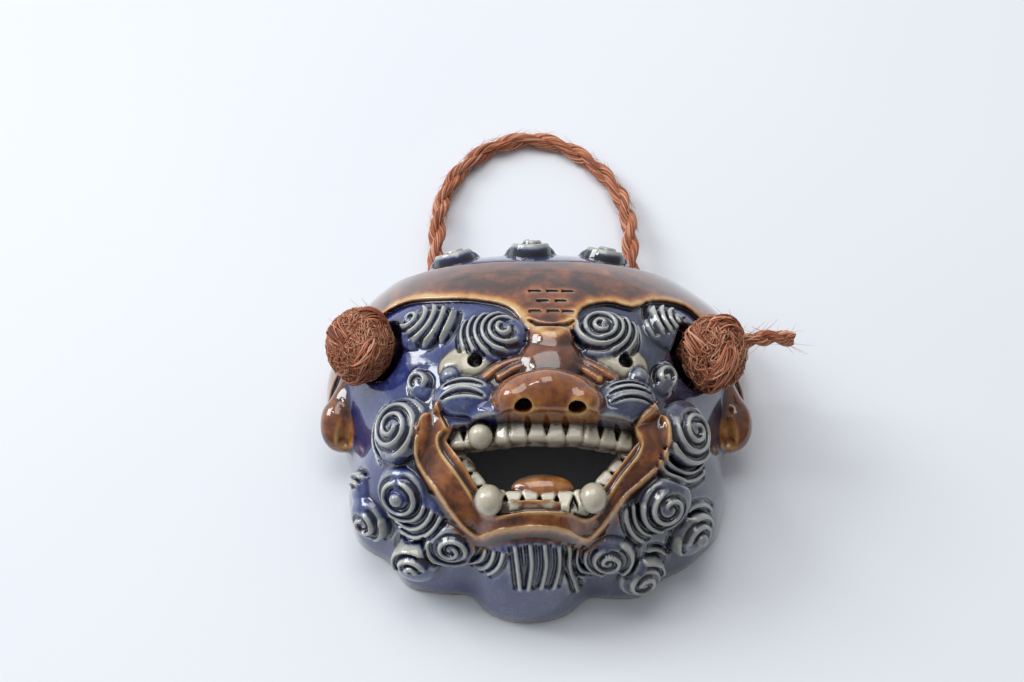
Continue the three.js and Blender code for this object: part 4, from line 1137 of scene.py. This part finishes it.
def stray(path, count, length, reach, rise, fibre):
    """Loose fibre ends that stand off a rope."""
    along, side, up = frames_along(path)
    paths, radii = [], []
    for _ in range(count):
        i = rng.integers(2, len(path) - 2)
        turn = rng.uniform(0, 2 * np.pi)
        out = side[i] * np.cos(turn) + up[i] * np.sin(turn)
        way = along[i] * rng.choice([-1, 1])
        t = np.linspace(0, 1, 7)[:, None]
        size = length * rng.uniform(0.3, 1.0)
        bend = np.cross(way, out) * rng.uniform(-0.25, 0.25) * size * t ** 2
        lift = reach * 0.85 + rise * rng.uniform(0.2, 1.0) * t ** 1.3
        curve = path[i] + out * lift + way * size * t + bend
        curve[:, 2] = np.maximum(curve[:, 2], 0.3)
        paths.append(curve)
        radii.append(fibre * np.linspace(1, 0.35, 7) * rng.uniform(0.6, 1.2))
    return paths, radii, 3, rng.uniform(0.3, 0.9, count), np.zeros(count)


def knot_reach(direction):
    return 1 / np.linalg.norm(unit(direction) / KNOT)


# The rope starts and ends 1 mm inside its knots.
route = spline(ROUTE, 1200)
run = run_along(route)
first = knot_reach(np.array(ROUTE[1]) - ROUTE[0]) - 1.0
last = run[-1] - knot_reach(np.array(ROUTE[-2]) - ROUTE[-1]) + 1.0
rope_line = at_runs(route, run, np.linspace(first, last, 330))


def rope_piece(material):
    bundles = twisted(rope_line, ROPE, 2, ROPE_LAY, 22, 0.36)
    outside = rope_line[90:-90]
    bundles.append(stray(outside, 420, 7.0, ROPE / 2, 2.0, 0.1))
    rope = fibre_mesh("rope_twisted", bundles, material)
    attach(rope, "root")
    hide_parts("rope")
    return rope


def tied(centre, half, spin):
    """A simple knot pulled tight inside an ellipsoid, as a path."""
    t = np.linspace(0, 2 * np.pi, 120, endpoint=False) + spin
    knot = np.column_stack([np.sin(t) + 2 * np.sin(2 * t), np.cos(t) - 2 * np.cos(2 * t), -np.sin(3 * t)])
    knot = np.vstack([knot, knot[:4]])
    knot *= (half - STRAND) / np.array([2.75, 2.75, 1.0])
    return centre + knot


def knot_piece(name, node, centre, tail, material, frizz, seed):
    path = tied(centre, KNOT - 0.4, seed)
    # The knot's core and inner fibres carry more painted shade than the outer ones.
    bundles = [([path], [np.full(len(path), STRAND * 0.9)], 12, [0.2], [0.5])]
    for radius, count, inner_shade in ((0.80, 26, 0.3), (0.97, 40, 0.05)):
        paths, radii = yarn(path, STRAND * radius, 60 + 30 * radius, count, 0.34, 1.6)
        bundles.append((paths, radii, 4, rng.uniform(0.15, 0.9, count), np.full(count, inner_shade)))
    bundles.append(frizzed(centre, frizz))
    bundles.append(stray(path, 110, 7.0, STRAND, 4.5, 0.11))
    if tail is not None:
        line = spline(tail, 60)
        bundles += twisted(line, 5.6, 2, 17.0, 16, 0.32)
        bundles.append(stray(line, 60, 9.0, 2.8, 5.0, 0.1))
    piece = fibre_mesh(name, bundles, material)
    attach(piece, "root")
    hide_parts(node)
    return piece


def frizzed(centre, count):
    """Short crimped fibres that lie over a ball in every direction."""
    paths, radii = [], []
    for _ in range(count):
        a = unit(rng.normal(0, 1, 3))
        b = unit(np.cross(a, rng.normal(0, 1, 3)))
        sweep = rng.uniform(0.3, 1.1)
        t = np.linspace(0, sweep, 9)[:, None]
        side = np.cross(a, b) * 0.16 * np.sin(t * rng.uniform(5, 11) + rng.uniform(0, 6))
        crimp = 0.05 * np.sin(t * rng.uniform(6, 14) + rng.uniform(0, 6))
        ball = unit(a * np.cos(t) + b * np.sin(t) + side) * (rng.uniform(0.88, 1.02) + crimp)
        paths.append(centre + ball * (KNOT - 0.3))
        radii.append(np.full(9, 0.17) * rng.uniform(0.6, 1.4))
    return paths, radii, 3, rng.uniform(0.35, 1.0, count), rng.uniform(0, 0.2, count)


glaze = glaze_material()
palm = palm_material()
rope = rope_piece(palm)
knot_left = knot_piece("knot_left_fibres", "knot_left", KNOT_LEFT, None, palm, 2450, 0.4)
knot_right = knot_piece("knot_right_fibres", "knot_right", KNOT_RIGHT, TAIL, palm, 700, 1.7)
tuple(in_metres(rope_line[0]))
[tuple(p) for p in in_metres(rope_line[::6])]
mask = mask_piece(glaze)
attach(mask, "root")
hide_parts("mask")


# Table and light.
def table():
    material = bpy.data.materials.new("table_top")
    n = Nodes(material)
    tone = n.ramp(n.noise(3, 2), [(0.3, (0.80, 0.83, 0.88)), (0.7, (0.83, 0.86, 0.905))])
    n.put(n.inputs["Base Color"], tone)
    n.inputs["Roughness"].default_value = 0.55
    side = 3.0
    corners = np.array([[-side, -side, 0], [side, -side, 0], [side, side, 0], [-side, side, 0]])
    top = make_mesh("table", corners, [[0, 1, 2, 3]], material)


def lamp(name, place, target, size, watts, colour):
    data = bpy.data.lights.new(name, "AREA")
    data.shape = "RECTANGLE"
    data.size, data.size_y = size
    data.energy = watts
    data.color = colour
    thing = bpy.data.objects.new(name, data)
    thing.location = place
    way = np.array(target, float) - np.array(place, float)
    thing.rotation_euler = Vector(way).to_track_quat("-Z", "Y").to_euler()
    bpy.context.scene.collection.objects.link(thing)


def room():
    """Light from all round: more from the left and from behind the loop."""
    world = bpy.data.worlds.new("room")
    bpy.context.scene.world = world
    n = Nodes(world, "Background")
    split = n.add("ShaderNodeSeparateXYZ", {0: n.places["Generated"]}).outputs
    left = n.math("MULTIPLY_ADD", split["X"], -0.24, 0.45)
    behind = n.math("MULTIPLY_ADD", split["Y"], 0.42, left)
    n.put(n.inputs["Color"], n.ramp(behind, [
        (0.0, (0.28, 0.27, 0.265)), (0.72, (0.95, 0.99, 1.05)), (1.0, (1.5, 1.54, 1.64))]))
    n.inputs["Strength"].default_value = 0.62


table()
room()
lamp("window", (-2.2, 1.0, 1.7), (0, 0, 0.03), (1.3, 1.3), 41, (0.97, 0.99, 1.0))
lamp("glint", (-0.5, 0.2, 0.8), (0, 0, 0.03), (0.06, 0.18), 0.5, (1.0, 1.0, 1.0))
lamp("ceiling", (-0.1, 0.5, 1.3), (0, 0, 0), (0.9, 0.9), 6.5, (1.0, 0.98, 0.96))
bpy.context.scene.view_settings.view_transform = "Standard"
